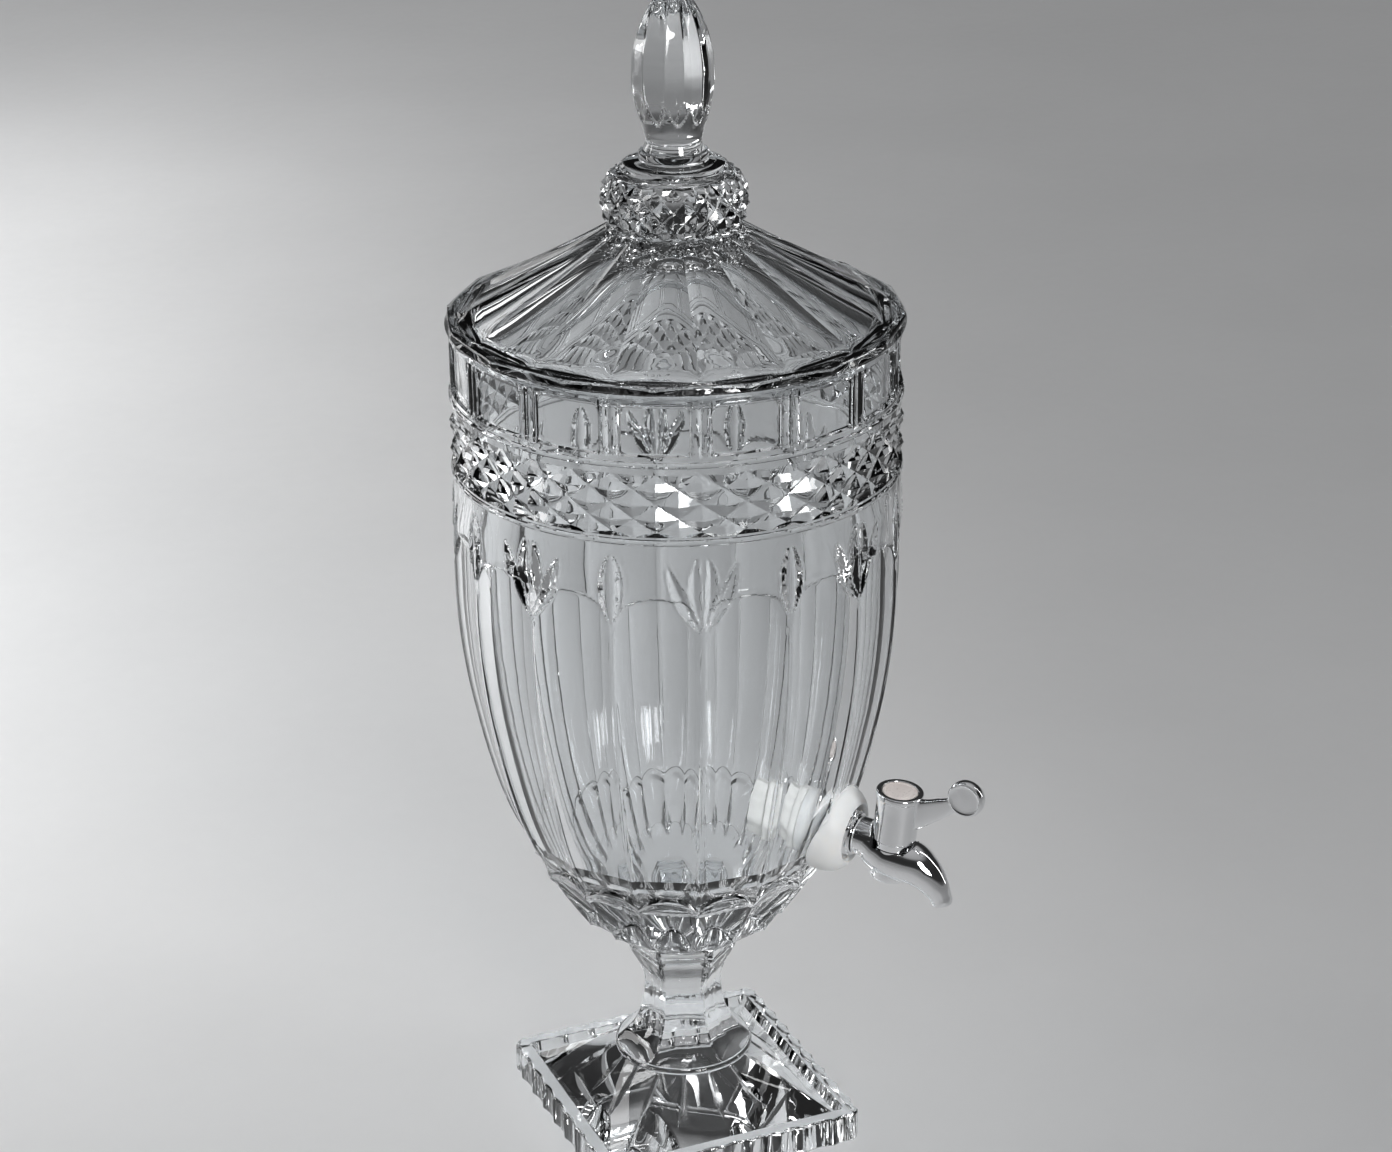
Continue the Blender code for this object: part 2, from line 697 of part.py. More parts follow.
def rim_sections(growth):
    """Rings of the pillared band and the rounded rim."""
    plain = BOWL_RADIUS - BEAD_PROUD + growth
    top = FOOT_HEIGHT + BOWL_HEIGHT
    low = FOOT_HEIGHT + UPPER_BEAD_HEIGHT + BEAD_THICKNESS / 2 + PILLAR_BAND_MARGIN
    high = top - RIM_ROUND - PILLAR_BAND_MARGIN
    groove_share = PILLAR_GROOVE / PILLAR_DEPTH
    shares = (1, 0, groove_share, 0)
    return [
        motif_section(plain, low, PILLAR_DEPTH, shares, pillar_half_width=PILLAR_HALF_WIDTH),
        motif_section(plain, high, PILLAR_DEPTH, shares, pillar_half_width=PILLAR_HALF_WIDTH),
        round_section(plain, top - RIM_ROUND),
        round_section(plain - RIM_ROUND, top),
    ]


def bowl_outside(name, collection, material=None, growth=0.0):
    """The bowl's outer form as one solid, grown outwards by a clearance."""
    sections = base_sections(growth) + body_sections(growth)
    sections += bead_sections(growth, FOOT_HEIGHT + LOWER_BEAD_HEIGHT)
    sections += diamond_sections(growth)
    sections += bead_sections(growth, FOOT_HEIGHT + UPPER_BEAD_HEIGHT)
    sections += rim_sections(growth)
    return loft(name, sections, collection, material)


def bowl_inside(name, collection, shrink=0.0):
    """The bowl's hollow as one solid, drawn in by a clearance."""
    top = FOOT_HEIGHT + BOWL_HEIGHT
    floor = FOOT_HEIGHT + BOWL_FLOOR + shrink
    mouth = mouth_radius() - shrink
    wall = BOWL_WALL + shrink
    outline = [(0, top + OVERRUN), (mouth, top + OVERRUN), (mouth, top - MOUTH_DEPTH)]
    outline.append((BOWL_RADIUS - wall, top - MOUTH_DEPTH - MOUTH_SHOULDER))
    for shares in reversed(BODY_OUTLINE_SHARES[1:]):
        radius, height = body_spot(*shares)
        outline.append((radius - wall, height))
    low_radius, low_height = outline[-1]
    for radius_share, drop_share in FLOOR_OUTLINE_SHARES:
        outline.append((low_radius * radius_share, low_height + (floor - low_height) * drop_share))
    outline.append((0, floor))
    return turned(name, outline, collection, steps=FINE_TURN_STEPS)


def leaf_wall_radius(height):
    """The bowl's outer radius over the flutes, where it draws in towards the lower bead."""
    plain = body_spot(*BODY_OUTLINE_SHARES[-1])[1] + FLUTE_ARCH_RISE + FLUTE_ARCH_FADE
    bead = FOOT_HEIGHT + LOWER_BEAD_HEIGHT - BEAD_THICKNESS / 2
    share = max(0, (height - plain) / (bead - plain))
    return BOWL_RADIUS - BEAD_PROUD * share


def add_leaf(form, rib, side, leaf_shares, half_width):
    """Add a three-sided spindle that lies along a leaf's spine, its keel towards the axis."""
    foot_across, foot_up, tip_across, tip_up, bow = leaf_shares
    foot = Vector((foot_across * LEAF_SPREAD, foot_up * LEAF_RISE))
    along = Vector((tip_across * LEAF_SPREAD, tip_up * LEAF_RISE)) - foot
    aside = Vector((along.y, -along.x)).normalized()
    rings = []
    for share, width_share in ((0, 0), *LEAF_WIDTH_SHARES, (1, 0)):
        spine = foot + along * share + aside * (bow * LEAF_SPREAD * 4 * share * (1 - share))
        reach = half_width * width_share * (1 + LEAF_GROWTH_SHARE)
        corners = [(-reach, LEAF_GROWTH_SHARE), (reach, LEAF_GROWTH_SHARE), (0, -width_share)]
        if width_share == 0:
            corners = corners[:1]
        ring = []
        for offset, out_share in corners:
            spot = spine + aside * offset
            height = FOOT_HEIGHT + LEAF_FOOT_HEIGHT + spot.y
            radius = leaf_wall_radius(height) + LEAF_DEPTH * out_share
            ring.append(form.verts.new(cylinder_point(radius, rib + side * spot.x / BOWL_RADIUS, height)))
        rings.append(ring)
    for low, high in zip(rings, rings[1:]):
        for index in range(3):
            after = (index + 1) % 3
            if len(low) == 1:
                form.faces.new((low[0], high[after], high[index]))
            elif len(high) == 1:
                form.faces.new((low[index], low[after], high[0]))
            else:
                form.faces.new((low[index], low[after], high[after]))
                form.faces.new((low[index], high[after], high[index]))


def leaf_cutter(name, bench, leaves):
    """A cutter for leaves at every second rib: each leaf's first rib, its sides, shares and half width."""
    mesh = bpy.data.meshes.new(name)
    form = bmesh.new()
    rib_turn = 2 * pi * MOTIF_COLUMNS / COLUMNS
    for first_rib, sides, leaf_shares, half_width in leaves:
        for rib in range(first_rib, COLUMNS // MOTIF_COLUMNS, 2):
            for side in sides:
                add_leaf(form, (rib + 1 / 2) * rib_turn, side, leaf_shares, half_width)
    bmesh.ops.recalc_face_normals(form, faces=form.faces)
    form.to_mesh(mesh)
    form.free()
    return link_piece(name, mesh, bench.cutters)


def cut_leaves(bowl, bench):
    """Cut the leaves over the flutes: single ones and sprigs of four, by turns."""
    inner = leaf_cutter("inner_leaves", bench, [
        (0, (1,), SINGLE_LEAF_SHARES, SINGLE_LEAF_HALF_WIDTH),
        (1, (-1, 1), INNER_LEAF_SHARES, SPRIG_LEAF_HALF_WIDTH),
    ])
    outer = leaf_cutter("outer_leaves", bench, [(1, (-1, 1), OUTER_LEAF_SHARES, SPRIG_LEAF_HALF_WIDTH)])
    cut(bowl, inner, outer)


def make_bowl(bench, glass):
    """The pressed bowl with its leaves and its tap hole."""
    bowl = bowl_outside("glass_bowl", bench.parts, glass)
    cut_leaves(bowl, bench)
    hole_radius = SHANK_RADIUS + GLASS_HOLE_CLEARANCE
    hole = drum("tap_hole", hole_radius, -SHANK_INSIDE, OVERRUN, bench.cutters, parent=bench.tap_frame)
    cut(bowl, bowl_inside("bowl_hollow", bench.cutters), lay_along_tap(hole))
    return bowl


def lid_flute_spot(length_share, rise_share):
    """The radius and the height on the lid's flutes at shares of their length and rise."""
    start = LID_RADIUS - LID_FLANGE_WIDTH
    radius = start - (start - BULB_NECK_RADIUS) * length_share
    return radius, lid_base() + LID_FLANGE_HEIGHT + LID_RISE * rise_share


def lid_base():
    """The height of the lid's seat on the bowl's rim."""
    return FOOT_HEIGHT + BOWL_HEIGHT + SEAT_GAP


def lid_underside(name, cutters):
    """The lid's hollow: straight inside the locating rim, then under the flutes."""
    inner = lid_rim_radius() - LID_RIM_WALL
    under = LID_WALL + LID_FLUTE_DEPTH
    outline = []
    for length_share, rise_share, depth_share in reversed(LID_OUTLINE_SHARES[1:-1]):
        radius, height = lid_flute_spot(length_share, rise_share)
        if radius < inner:
            outline.append((radius, height - under))
    low = lid_base() - LID_RIM_DEPTH - OVERRUN
    outline = [(0, outline[0][1])] + outline + [(inner, lid_base()), (inner, low), (0, low)]
    return turned(name, outline, cutters, steps=FINE_TURN_STEPS)


def bulb_sections(base):
    """Rings of the knob's diamond-cut bulb, above its root in the lid."""
    sections = [round_section(BULB_NECK_RADIUS, base - KNOB_ROOT_DEPTH, KNOB_COLUMNS)]
    cut_height = BULB_HEIGHT - BULB_EDGE_HEIGHT * 2
    for index in range(BULB_ROWS):
        share = index / (BULB_ROWS - 1)
        bulge = (1 - (2 * share - 1) ** 2) ** BULB_BELLY_SHARE
        radius = BULB_EDGE_RADIUS + (BULB_RADIUS - BULB_EDGE_RADIUS) * bulge
        height = base + BULB_EDGE_HEIGHT + cut_height * share
        sections.append(diamond_section(radius, height, BULB_DIAMOND_DEPTH, index % 2, KNOB_COLUMNS))
    sections.append(round_section(BULB_NECK_RADIUS, base + BULB_HEIGHT, KNOB_COLUMNS))
    return sections


def bud_sections(base):
    """Rings of the knob's fluted bud, above its neck."""
    sections = []
    for height_share, radius_share, depth_share in BUD_OUTLINE_SHARES:
        points = []
        for column in range(KNOB_COLUMNS):
            angle = 2 * pi * column / KNOB_COLUMNS
            hollow = BUD_FLUTE_DEPTH * depth_share * abs(sin(angle * BUD_FLUTES / 2))
            radius = BUD_RADIUS * radius_share - hollow
            points.append(cylinder_point(radius, angle, base + BUD_HEIGHT * height_share))
        sections.append(points)
    sections.append(round_section(BUD_TIP_RADIUS, base + BUD_HEIGHT, KNOB_COLUMNS))
    return sections


def knob_sections(base):
    """Rings of the lid's knob: bulb, disc, step, neck and bud, from low to high."""
    sections = bulb_sections(base)
    top = base + BULB_HEIGHT
    for share, radius in zip(DISC_HEIGHT_SHARES, (DISC_RADIUS, DISC_RADIUS, DISC_TOP_RADIUS)):
        sections.append(round_section(radius, top + DISC_HEIGHT * share, KNOB_COLUMNS))
    top += DISC_HEIGHT
    for share, radius in zip(STEP_HEIGHT_SHARES, (STEP_RADIUS, STEP_RADIUS, NECK_FOOT_RADIUS)):
        sections.append(round_section(radius, top + STEP_HEIGHT * share, KNOB_COLUMNS))
    top += STEP_HEIGHT
    sections.append(round_section(NECK_RADIUS, top, KNOB_COLUMNS))
    return sections + bud_sections(top + NECK_HEIGHT)


def make_lid(bench, glass):
    """The pressed lid: locating rim, flange, sixteen flutes and the knob."""
    base = lid_base()
    rim = lid_rim_radius()
    bevelled = LID_RADIUS - LID_FLANGE_BEVEL
    sections = [
        round_section(rim - LID_FLANGE_BEVEL, base - LID_RIM_DEPTH),
        round_section(rim, base - LID_RIM_DEPTH + LID_FLANGE_BEVEL),
        round_section(rim, base),
        round_section(bevelled, base),
        round_section(LID_RADIUS, base + LID_FLANGE_BEVEL),
        round_section(LID_RADIUS, base + LID_FLANGE_HEIGHT - LID_FLANGE_BEVEL),
        round_section(bevelled, base + LID_FLANGE_HEIGHT),
    ]
    for length_share, rise_share, depth_share in LID_OUTLINE_SHARES:
        radius, height = lid_flute_spot(length_share, rise_share)
        height += LID_FLANGE_BEVEL
        points = []
        for column in range(COLUMNS):
            place = column % MOTIF_COLUMNS
            hollow = LID_FLUTE_DEPTH * depth_share * FLUTE_DROP_SHARES[place]
            between_ribs = length_share == 0 and place != MOTIF_COLUMNS // 2
            out = LID_CUSP_WIDTH if between_ribs else 0
            points.append(cylinder_point(radius + out, 2 * pi * column / COLUMNS, height - hollow))
        sections.append(points)
    lid = loft("glass_lid", sections, bench.parts, glass)
    cut(lid, lid_underside("lid_hollow", bench.cutters))
    knob = loft("lid_knob", knob_sections(base + LID_FLANGE_HEIGHT + KNOB_SEAT_RISE), bench.cutters)
    combine(lid, knob, "UNION")
    return lid


def horn_stations():
    """Stations of the tap's horn, from the neck to the spout's tip: place and radius."""
    stations = []
    for reach_share, drop_share, radius_share in HORN_ROOT_SHARES:
        reach = NECK_START + (BARREL_REACH - NECK_START) * reach_share
        stations.append(((0, -reach, -HORN_DROP * drop_share), HORN_RADIUS * radius_share))
    for reach_share, drop_share, taper_share in HORN_SPOUT_SHARES:
        reach = BARREL_REACH + (SPOUT_TIP_REACH - BARREL_REACH) * reach_share
        drop = HORN_DROP + (SPOUT_TIP_DROP - HORN_DROP) * drop_share
        radius = HORN_RADIUS + (SPOUT_TIP_RADIUS - HORN_RADIUS) * taper_share
        stations.append(((0, -reach, -drop), radius))
    return stations


def make_waterways(bench):
    """The tap's two waterways: from the shank down to the plug, and from the plug out of the spout."""
    plug_side = BARREL_REACH - PLUG_RADIUS
    inlet_route = [
        (0, SHANK_INSIDE + OVERRUN, 0),
        (0, -NECK_START, 0),
        (0, -plug_side, PLUG_PORT_HEIGHT),
        (0, -BARREL_REACH, PLUG_PORT_HEIGHT),
    ]
    outlet_route = [(0, -BARREL_REACH, PLUG_PORT_HEIGHT)]
    outlet_route += [place for place, radius in horn_stations()[len(HORN_ROOT_SHARES):]]
    tip = Vector(outlet_route[-1])
    heading = (tip - Vector(outlet_route[-2])).normalized()
    outlet_route[-1] = tuple(tip + heading * OVERRUN)
    ways = []
    for name, route in (("inlet", inlet_route), ("outlet", outlet_route)):
        radii = [WATERWAY_RADIUS] * len(route)
        ways.append(tube(name, route, radii, bench.cutters, None, bench.tap_frame, 2, WATERWAY_TILT))
    return ways


def make_tap_body(bench, chrome):
    """The tap's body: shank, neck, horn-shaped spout and barrel, with its waterways and plug bore."""
    neck_end = NECK_START + TAP_NECK_LENGTH
    body = turned("tap_body", [
        (0, neck_end), (TAP_NECK_RADIUS, neck_end), (TAP_NECK_RADIUS, NECK_START),
        (SHANK_RADIUS, NECK_START), (SHANK_RADIUS, -SHANK_INSIDE), (0, -SHANK_INSIDE),
    ], bench.parts, chrome, bench.tap_frame)
    lay_along_tap(body)
    places, radii = zip(*horn_stations())
    combine(body, tube("horn", places, radii, bench.cutters, parent=bench.tap_frame), "UNION")
    barrel_high = BARREL_TOP + OVERRUN * 2
    barrel = turned("barrel", [
        (0, barrel_high), (BARREL_RADIUS, barrel_high),
        (BARREL_RADIUS, -BARREL_DEPTH + BARREL_EDGE_BEVEL),
        (BARREL_RADIUS - BARREL_EDGE_BEVEL, -BARREL_DEPTH), (0, -BARREL_DEPTH),
    ], bench.cutters, parent=bench.handle_axis)
    combine(body, barrel, "UNION")
    sweep = CAP_BEAD_RADIUS + RUNNING_GAP * 2
    room = drum("cap_room", sweep, BARREL_TOP, CAP_TOP, bench.cutters, parent=bench.handle_axis)
    bore_radius = PLUG_RADIUS + RUNNING_GAP
    bore_floor = PLUG_BOTTOM - SEAT_GAP
    bore = drum("plug_bore", bore_radius, bore_floor, CAP_TOP, bench.cutters, parent=bench.handle_axis,
                steps=FINE_TURN_STEPS)
    cut(body, room, bore, *make_waterways(bench))
    return body


def make_outer_washer(bench, silicone):
    """The domed silicone washer outside, whose back is cut to the fluted wall."""
    bore = SHANK_RADIUS + SEAT_GAP
    outline = [(OUTER_WASHER_RADIUS * radius_share, OUTER_WASHER_HEIGHT * height_share)
               for radius_share, height_share in WASHER_DOME_SHARES]
    outline += [
        (OUTER_WASHER_RADIUS, -OUTER_WASHER_DEPTH), (bore, -OUTER_WASHER_DEPTH), (bore, OUTER_WASHER_FLOOR),
        (HEX_COLLAR_RADIUS + SEAT_GAP, OUTER_WASHER_FLOOR),
    ]
    washer = turned("outer_washer", outline, bench.parts, silicone, bench.tap_frame, closed=True)
    cut(lay_along_tap(washer), bowl_outside("washer_bed", bench.cutters, growth=SEAT_GAP))
    return washer


def make_hex_collar(bench, chrome, shank_bore):
    """The six-sided collar between the outer washer and the tap's neck."""
    low = OUTER_WASHER_FLOOR + SEAT_GAP
    high = NECK_START - SEAT_GAP
    rings = (
        (HEX_COLLAR_RADIUS - NUT_EDGE_BEVEL, low), (HEX_COLLAR_RADIUS, low + NUT_EDGE_BEVEL),
        (HEX_COLLAR_RADIUS, high - HEX_COLLAR_STEP_HEIGHT), (HEX_COLLAR_STEP_RADIUS, high),
    )
    sections = [round_section(radius, height, HEX_SIDES) for radius, height in rings]
    collar = loft("hex_collar", sections, bench.parts, chrome, bench.tap_frame)
    cut(lay_along_tap(collar), shank_bore)
    return collar


def make_inner_washer(bench, silicone):
    """The silicone washer inside, whose front is cut to the bowl's inner wall."""
    bore = SHANK_RADIUS + SEAT_GAP
    washer = turned("inner_washer", [
        (INNER_WASHER_RADIUS, 0), (INNER_WASHER_RADIUS, -INNER_WASHER_END),
        (bore, -INNER_WASHER_END), (bore, 0),
    ], bench.parts, silicone, bench.tap_frame, closed=True)
    room = bowl_inside("washer_room", bench.cutters, shrink=SEAT_GAP)
    combine(lay_along_tap(washer), room, "INTERSECT")
    return washer


def make_nut(name, radius, top, thickness, bench, plastic, shank_bore):
    """A lobed nut whose outer end lies at a reach along the shank."""
    bottom = top - thickness
    sections = []
    for height, inset in ((bottom, NUT_EDGE_BEVEL), (bottom + NUT_EDGE_BEVEL, 0),
                          (top - NUT_EDGE_BEVEL, 0), (top, NUT_EDGE_BEVEL)):
        ring = []
        for index in range(TURN_STEPS):
            angle = 2 * pi * index / TURN_STEPS
            lobe = NUT_LOBE_DEPTH * (1 - cos(angle * NUT_LOBES)) / 2
            ring.append(cylinder_point(radius - lobe - inset, angle, height))
        sections.append(ring)
    nut = loft(name, sections, bench.parts, plastic, bench.tap_frame)
    cut(lay_along_tap(nut), shank_bore)
    return nut


def make_shank_fittings(bench, chrome, silicone, plastic):
    """Washers, collar and nuts, from the tap's neck inwards."""
    radius = SHANK_RADIUS + SEAT_GAP
    reach = SHANK_INSIDE + OVERRUN
    shank_bore = drum("shank_bore", radius, -reach, reach, bench.cutters, parent=bench.tap_frame)
    lay_along_tap(shank_bore)
    make_outer_washer(bench, silicone)
    make_hex_collar(bench, chrome, shank_bore)
    make_inner_washer(bench, silicone)
    top = -INNER_WASHER_END - SEAT_GAP
    make_nut("seat_nut", SEAT_NUT_RADIUS, top, SEAT_NUT_THICKNESS, bench, plastic, shank_bore)
    top -= SEAT_NUT_THICKNESS + SEAT_GAP
    make_nut("lock_nut", LOCK_NUT_RADIUS, top, LOCK_NUT_THICKNESS, bench, plastic, shank_bore)


def screw_seat():
    """The height of the face that the handle screw's head rests on."""
    return CAP_TOP - CAP_RECESS_DEPTH - SCREW_SEAT_DROP


def make_valve_plug(bench, plastic):
    """The valve's plug: ring grooves, cross port and the square stem with its screw hole."""
    inner = PLUG_RADIUS - RING_GROOVE_DEPTH
    half_groove = RING_GROOVE_HEIGHT / 2
    outline = [(0, PLUG_SHOULDER), (PLUG_RADIUS, PLUG_SHOULDER)]
    for middle in (UPPER_RING_HEIGHT, LOWER_RING_HEIGHT):
        high = middle + half_groove
        low = middle - half_groove
        outline += [(PLUG_RADIUS, high), (inner, high), (inner, low), (PLUG_RADIUS, low)]
    outline += [(PLUG_RADIUS, PLUG_BOTTOM), (0, PLUG_BOTTOM)]
    plug = turned("valve_plug", outline, bench.parts, plastic, bench.handle_axis)
    half = PLUG_STEM_SIDE / 2
    stem = box("stem", (-half, -half, PLUG_SHOULDER - OVERRUN), (half, half, PLUG_STEM_TOP), bench.cutters,
               parent=bench.handle_axis)
    combine(plug, stem, "UNION")
    reach = PLUG_RADIUS + OVERRUN
    port = drum("port", PLUG_PORT_RADIUS, -reach, reach, bench.cutters, parent=bench.handle_axis,
                steps=SMALL_TURN_STEPS)
    port.rotation_euler = (0, pi / 2, 0)
    port.location.z = PLUG_PORT_HEIGHT
    hole_floor = screw_seat() - SCREW_LENGTH - SEAT_GAP
    hole = drum("screw_hole", SCREW_RADIUS + SEAT_GAP, hole_floor, PLUG_STEM_TOP + OVERRUN, bench.cutters,
                parent=bench.handle_axis, steps=SMALL_TURN_STEPS)
    cut(plug, port, hole)
    return plug


def make_valve_rings(bench, chrome, rubber):
    """The plug's two rubber rings, and the retainer above its shoulder."""
    middle = PLUG_RADIUS - RING_GROOVE_DEPTH + SEAT_GAP / 2 + RING_SECTION_RADIUS
    for name, height in (("lower_o_ring", LOWER_RING_HEIGHT), ("upper_o_ring", UPPER_RING_HEIGHT)):
        ring = []
        for index in range(RING_SIDES):
            turn = -2 * pi * index / RING_SIDES
            ring.append((middle + RING_SECTION_RADIUS * cos(turn), height + RING_SECTION_RADIUS * sin(turn)))
        turned(name, ring, bench.parts, rubber, bench.handle_axis, steps=SMALL_TURN_STEPS, closed=True)
    low = PLUG_SHOULDER + SEAT_GAP
    high = low + RETAINER_THICKNESS
    hole = PLUG_STEM_SIDE / sqrt(2) + RUNNING_GAP
    outline = [(PLUG_RADIUS, high), (PLUG_RADIUS, low), (hole, low), (hole, high)]
    turned("plug_retainer", outline, bench.parts, chrome, bench.handle_axis, closed=True)


def lever_outline():
    """The lever's outline, as (y, z) points round it: low edge out, high edge back."""
    low = []
    high = []
    for step in range(LEVER_STEPS + 1):
        share = step / LEVER_STEPS
        ease = share * share * (3 - 2 * share)
        reach = CAP_FOOT_RADIUS + (LEVER_NECK_REACH - CAP_FOOT_RADIUS) * share
        low.append((-reach, LEVER_ROOT_LOW + (LEVER_NECK_LOW - LEVER_ROOT_LOW) * share))
        high.append((-reach, LEVER_ROOT_HIGH + (LEVER_NECK_HIGH - LEVER_ROOT_HIGH) * ease))
    tip = [
        (-PADDLE_REACH, PADDLE_HEIGHT - LEVER_TIP_HALF_HEIGHT),
        (-PADDLE_REACH, PADDLE_HEIGHT + LEVER_TIP_HALF_HEIGHT),
    ]
    root_low = (-LEVER_ROOT_REACH, LEVER_ROOT_LOW)
    root_high = (-LEVER_ROOT_REACH, LEVER_ROOT_HIGH)
    return [root_low] + low + tip + high[::-1] + [root_high]


def make_cap(bench, chrome):
    """The handle's cap, solid, with the bead at its top."""
    bead_low = CAP_TOP - CAP_BEAD_HEIGHT
    foot_top = CAP_BOTTOM + CAP_FOOT_HEIGHT
    return turned("tap_handle", [
        (0, CAP_TOP), (CAP_BEAD_RADIUS - CAP_BEAD_ROUND, CAP_TOP),
        (CAP_BEAD_RADIUS, CAP_TOP - CAP_BEAD_ROUND), (CAP_BEAD_RADIUS, bead_low + CAP_BEAD_ROUND),
        (CAP_RADIUS, bead_low), (CAP_RADIUS, foot_top), (CAP_FOOT_RADIUS, foot_top),
        (CAP_FOOT_RADIUS, CAP_BOTTOM), (0, CAP_BOTTOM),
    ], bench.parts, chrome, bench.handle_axis)


def make_paddle(bench):
    """The round paddle at the lever's end, facing sideways."""
    half = PADDLE_THICKNESS / 2
    flat = PADDLE_RADIUS - PADDLE_EDGE_ROUND
    paddle = turned("paddle", [
        (0, half), (flat, half), (PADDLE_RADIUS, half - PADDLE_EDGE_ROUND),
        (PADDLE_RADIUS, PADDLE_EDGE_ROUND - half), (flat, -half), (0, -half),
    ], bench.cutters, parent=bench.handle_axis)
    paddle.rotation_euler = (0, pi / 2, 0)
    paddle.location = (0, -PADDLE_REACH, PADDLE_HEIGHT)
    return paddle


def make_handle(bench, chrome):
    """The handle: hollow cap with its bead, lever and round paddle."""
    handle = make_cap(bench, chrome)
    lever = flat_plate("lever", lever_outline(), LEVER_THICKNESS, bench.cutters, parent=bench.handle_axis)
    combine(handle, lever, "UNION")
    combine(handle, make_paddle(bench), "UNION")
    floor = CAP_TOP - CAP_RECESS_DEPTH
    high = CAP_TOP + OVERRUN
    recess = drum("recess", CAP_RECESS_RADIUS, floor, high, bench.cutters, parent=bench.handle_axis)
    head = SCREW_HEAD_RADIUS + SEAT_GAP
    shaft = SCREW_RADIUS + SEAT_GAP
    low = CAP_BOTTOM - OVERRUN
    pocket = turned("screw_pocket", [
        (0, CAP_TOP), (head, CAP_TOP), (head, screw_seat()), (shaft, screw_seat()), (shaft, low), (0, low),
    ], bench.cutters, parent=bench.handle_axis, steps=SMALL_TURN_STEPS)
    side = PLUG_STEM_SIDE / 2 + SEAT_GAP
    socket = box("socket", (-side, -side, low), (side, side, PLUG_STEM_TOP + SEAT_GAP), bench.cutters,
                 parent=bench.handle_axis)
    cut(handle, recess, pocket, socket)
    return handle


def make_handle_trim(bench, steel, badge):
    """The handle's cross-slotted screw and the plain disc over it."""
    seat = screw_seat() + SEAT_GAP
    top = seat + SCREW_HEAD_HEIGHT
    screw = turned("handle_screw", [
        (0, top), (SCREW_HEAD_RADIUS - SCREW_HEAD_ROUND, top), (SCREW_HEAD_RADIUS, top - SCREW_HEAD_ROUND),
        (SCREW_HEAD_RADIUS, seat), (SCREW_RADIUS, seat), (SCREW_RADIUS, seat - SCREW_LENGTH),
        (0, seat - SCREW_LENGTH),
    ], bench.parts, steel, bench.handle_axis, steps=SMALL_TURN_STEPS)
    low = top - SCREW_SLOT_DEPTH
    for name, across, along in (("slot_across", SCREW_SLOT_LENGTH / 2, SCREW_SLOT_WIDTH / 2),
                                ("slot_along", SCREW_SLOT_WIDTH / 2, SCREW_SLOT_LENGTH / 2)):
        slot = box(name, (-across, -along, low), (across, along, top + OVERRUN), bench.cutters,
                   parent=bench.handle_axis)
        cut(screw, slot)
    low = CAP_TOP - CAP_RECESS_DEPTH + SEAT_GAP
    high = low + BADGE_THICKNESS
    drum("badge_disc", CAP_RECESS_RADIUS - SEAT_GAP, low, high, bench.parts, badge, bench.handle_axis)


def set_up_bench():
    """The two collections, the empty at the tap's root in the wall and the one on the handle's axis."""
    parts = make_collection("footed_drink_dispenser")
    cutters = make_collection("cutters")
    tap_height = FOOT_HEIGHT + TAP_HEIGHT
    tap_frame = make_empty("tap_frame", (0, -wall_radius_at(tap_height), tap_height), (TAP_TILT, 0, 0))
    handle_axis = make_empty("handle_axis", (0, -BARREL_REACH, 0), parent=tap_frame)
    return Bench(parts, cutters, tap_frame, handle_axis)


def main():
    """Build every piece, then shade the round faces smooth."""
    clear_scene()
    bench = set_up_bench()
    crystal = make_material("crystal_glass", (0.93, 0.95, 0.96), 0.03, alpha=0.35)
    chrome = make_material("chrome_plate", (0.80, 0.80, 0.82), 0.08, metallic=1.0)
    silicone = make_material("white_silicone", (0.86, 0.87, 0.87), 0.55)
    plastic = make_material("white_plastic", (0.88, 0.88, 0.87), 0.40)
    rubber = make_material("black_rubber", (0.03, 0.03, 0.03), 0.60)
    steel = make_material("bright_steel", (0.62, 0.62, 0.62), 0.25, metallic=1.0)
    badge = make_material("pale_badge", (0.78, 0.74, 0.71), 0.35)
    make_foot(bench, crystal)
    make_bowl(bench, crystal)
    make_lid(bench, crystal)
    make_tap_body(bench, chrome)
    make_shank_fittings(bench, chrome, silicone, plastic)
    make_valve_plug(bench, plastic)
    make_valve_rings(bench, chrome, rubber)
    make_handle(bench, chrome)
    make_handle_trim(bench, steel, badge)
    for piece in list(bench.parts.objects):
        shade_round_faces(solid_mesh(piece))


main()
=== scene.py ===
"""Looks of a footed crystal drink dispenser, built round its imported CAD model.

The frame is the CAD model's: +Z up, the origin on the bowl's axis at the foot's flat underside,
the tap towards -Y. Sizes are in millimetres, and a mesh is scaled to metres as it is made.
Turns are angles round the axis, counted from the tap's side, counter-clockwise from above.
"""

import logging
from dataclasses import dataclass
from enum import Enum
from math import cos, pi, radians, sin, tan
from typing import Callable, Sequence

import bmesh
import bpy
import numpy as np
from mathutils import Matrix, Vector


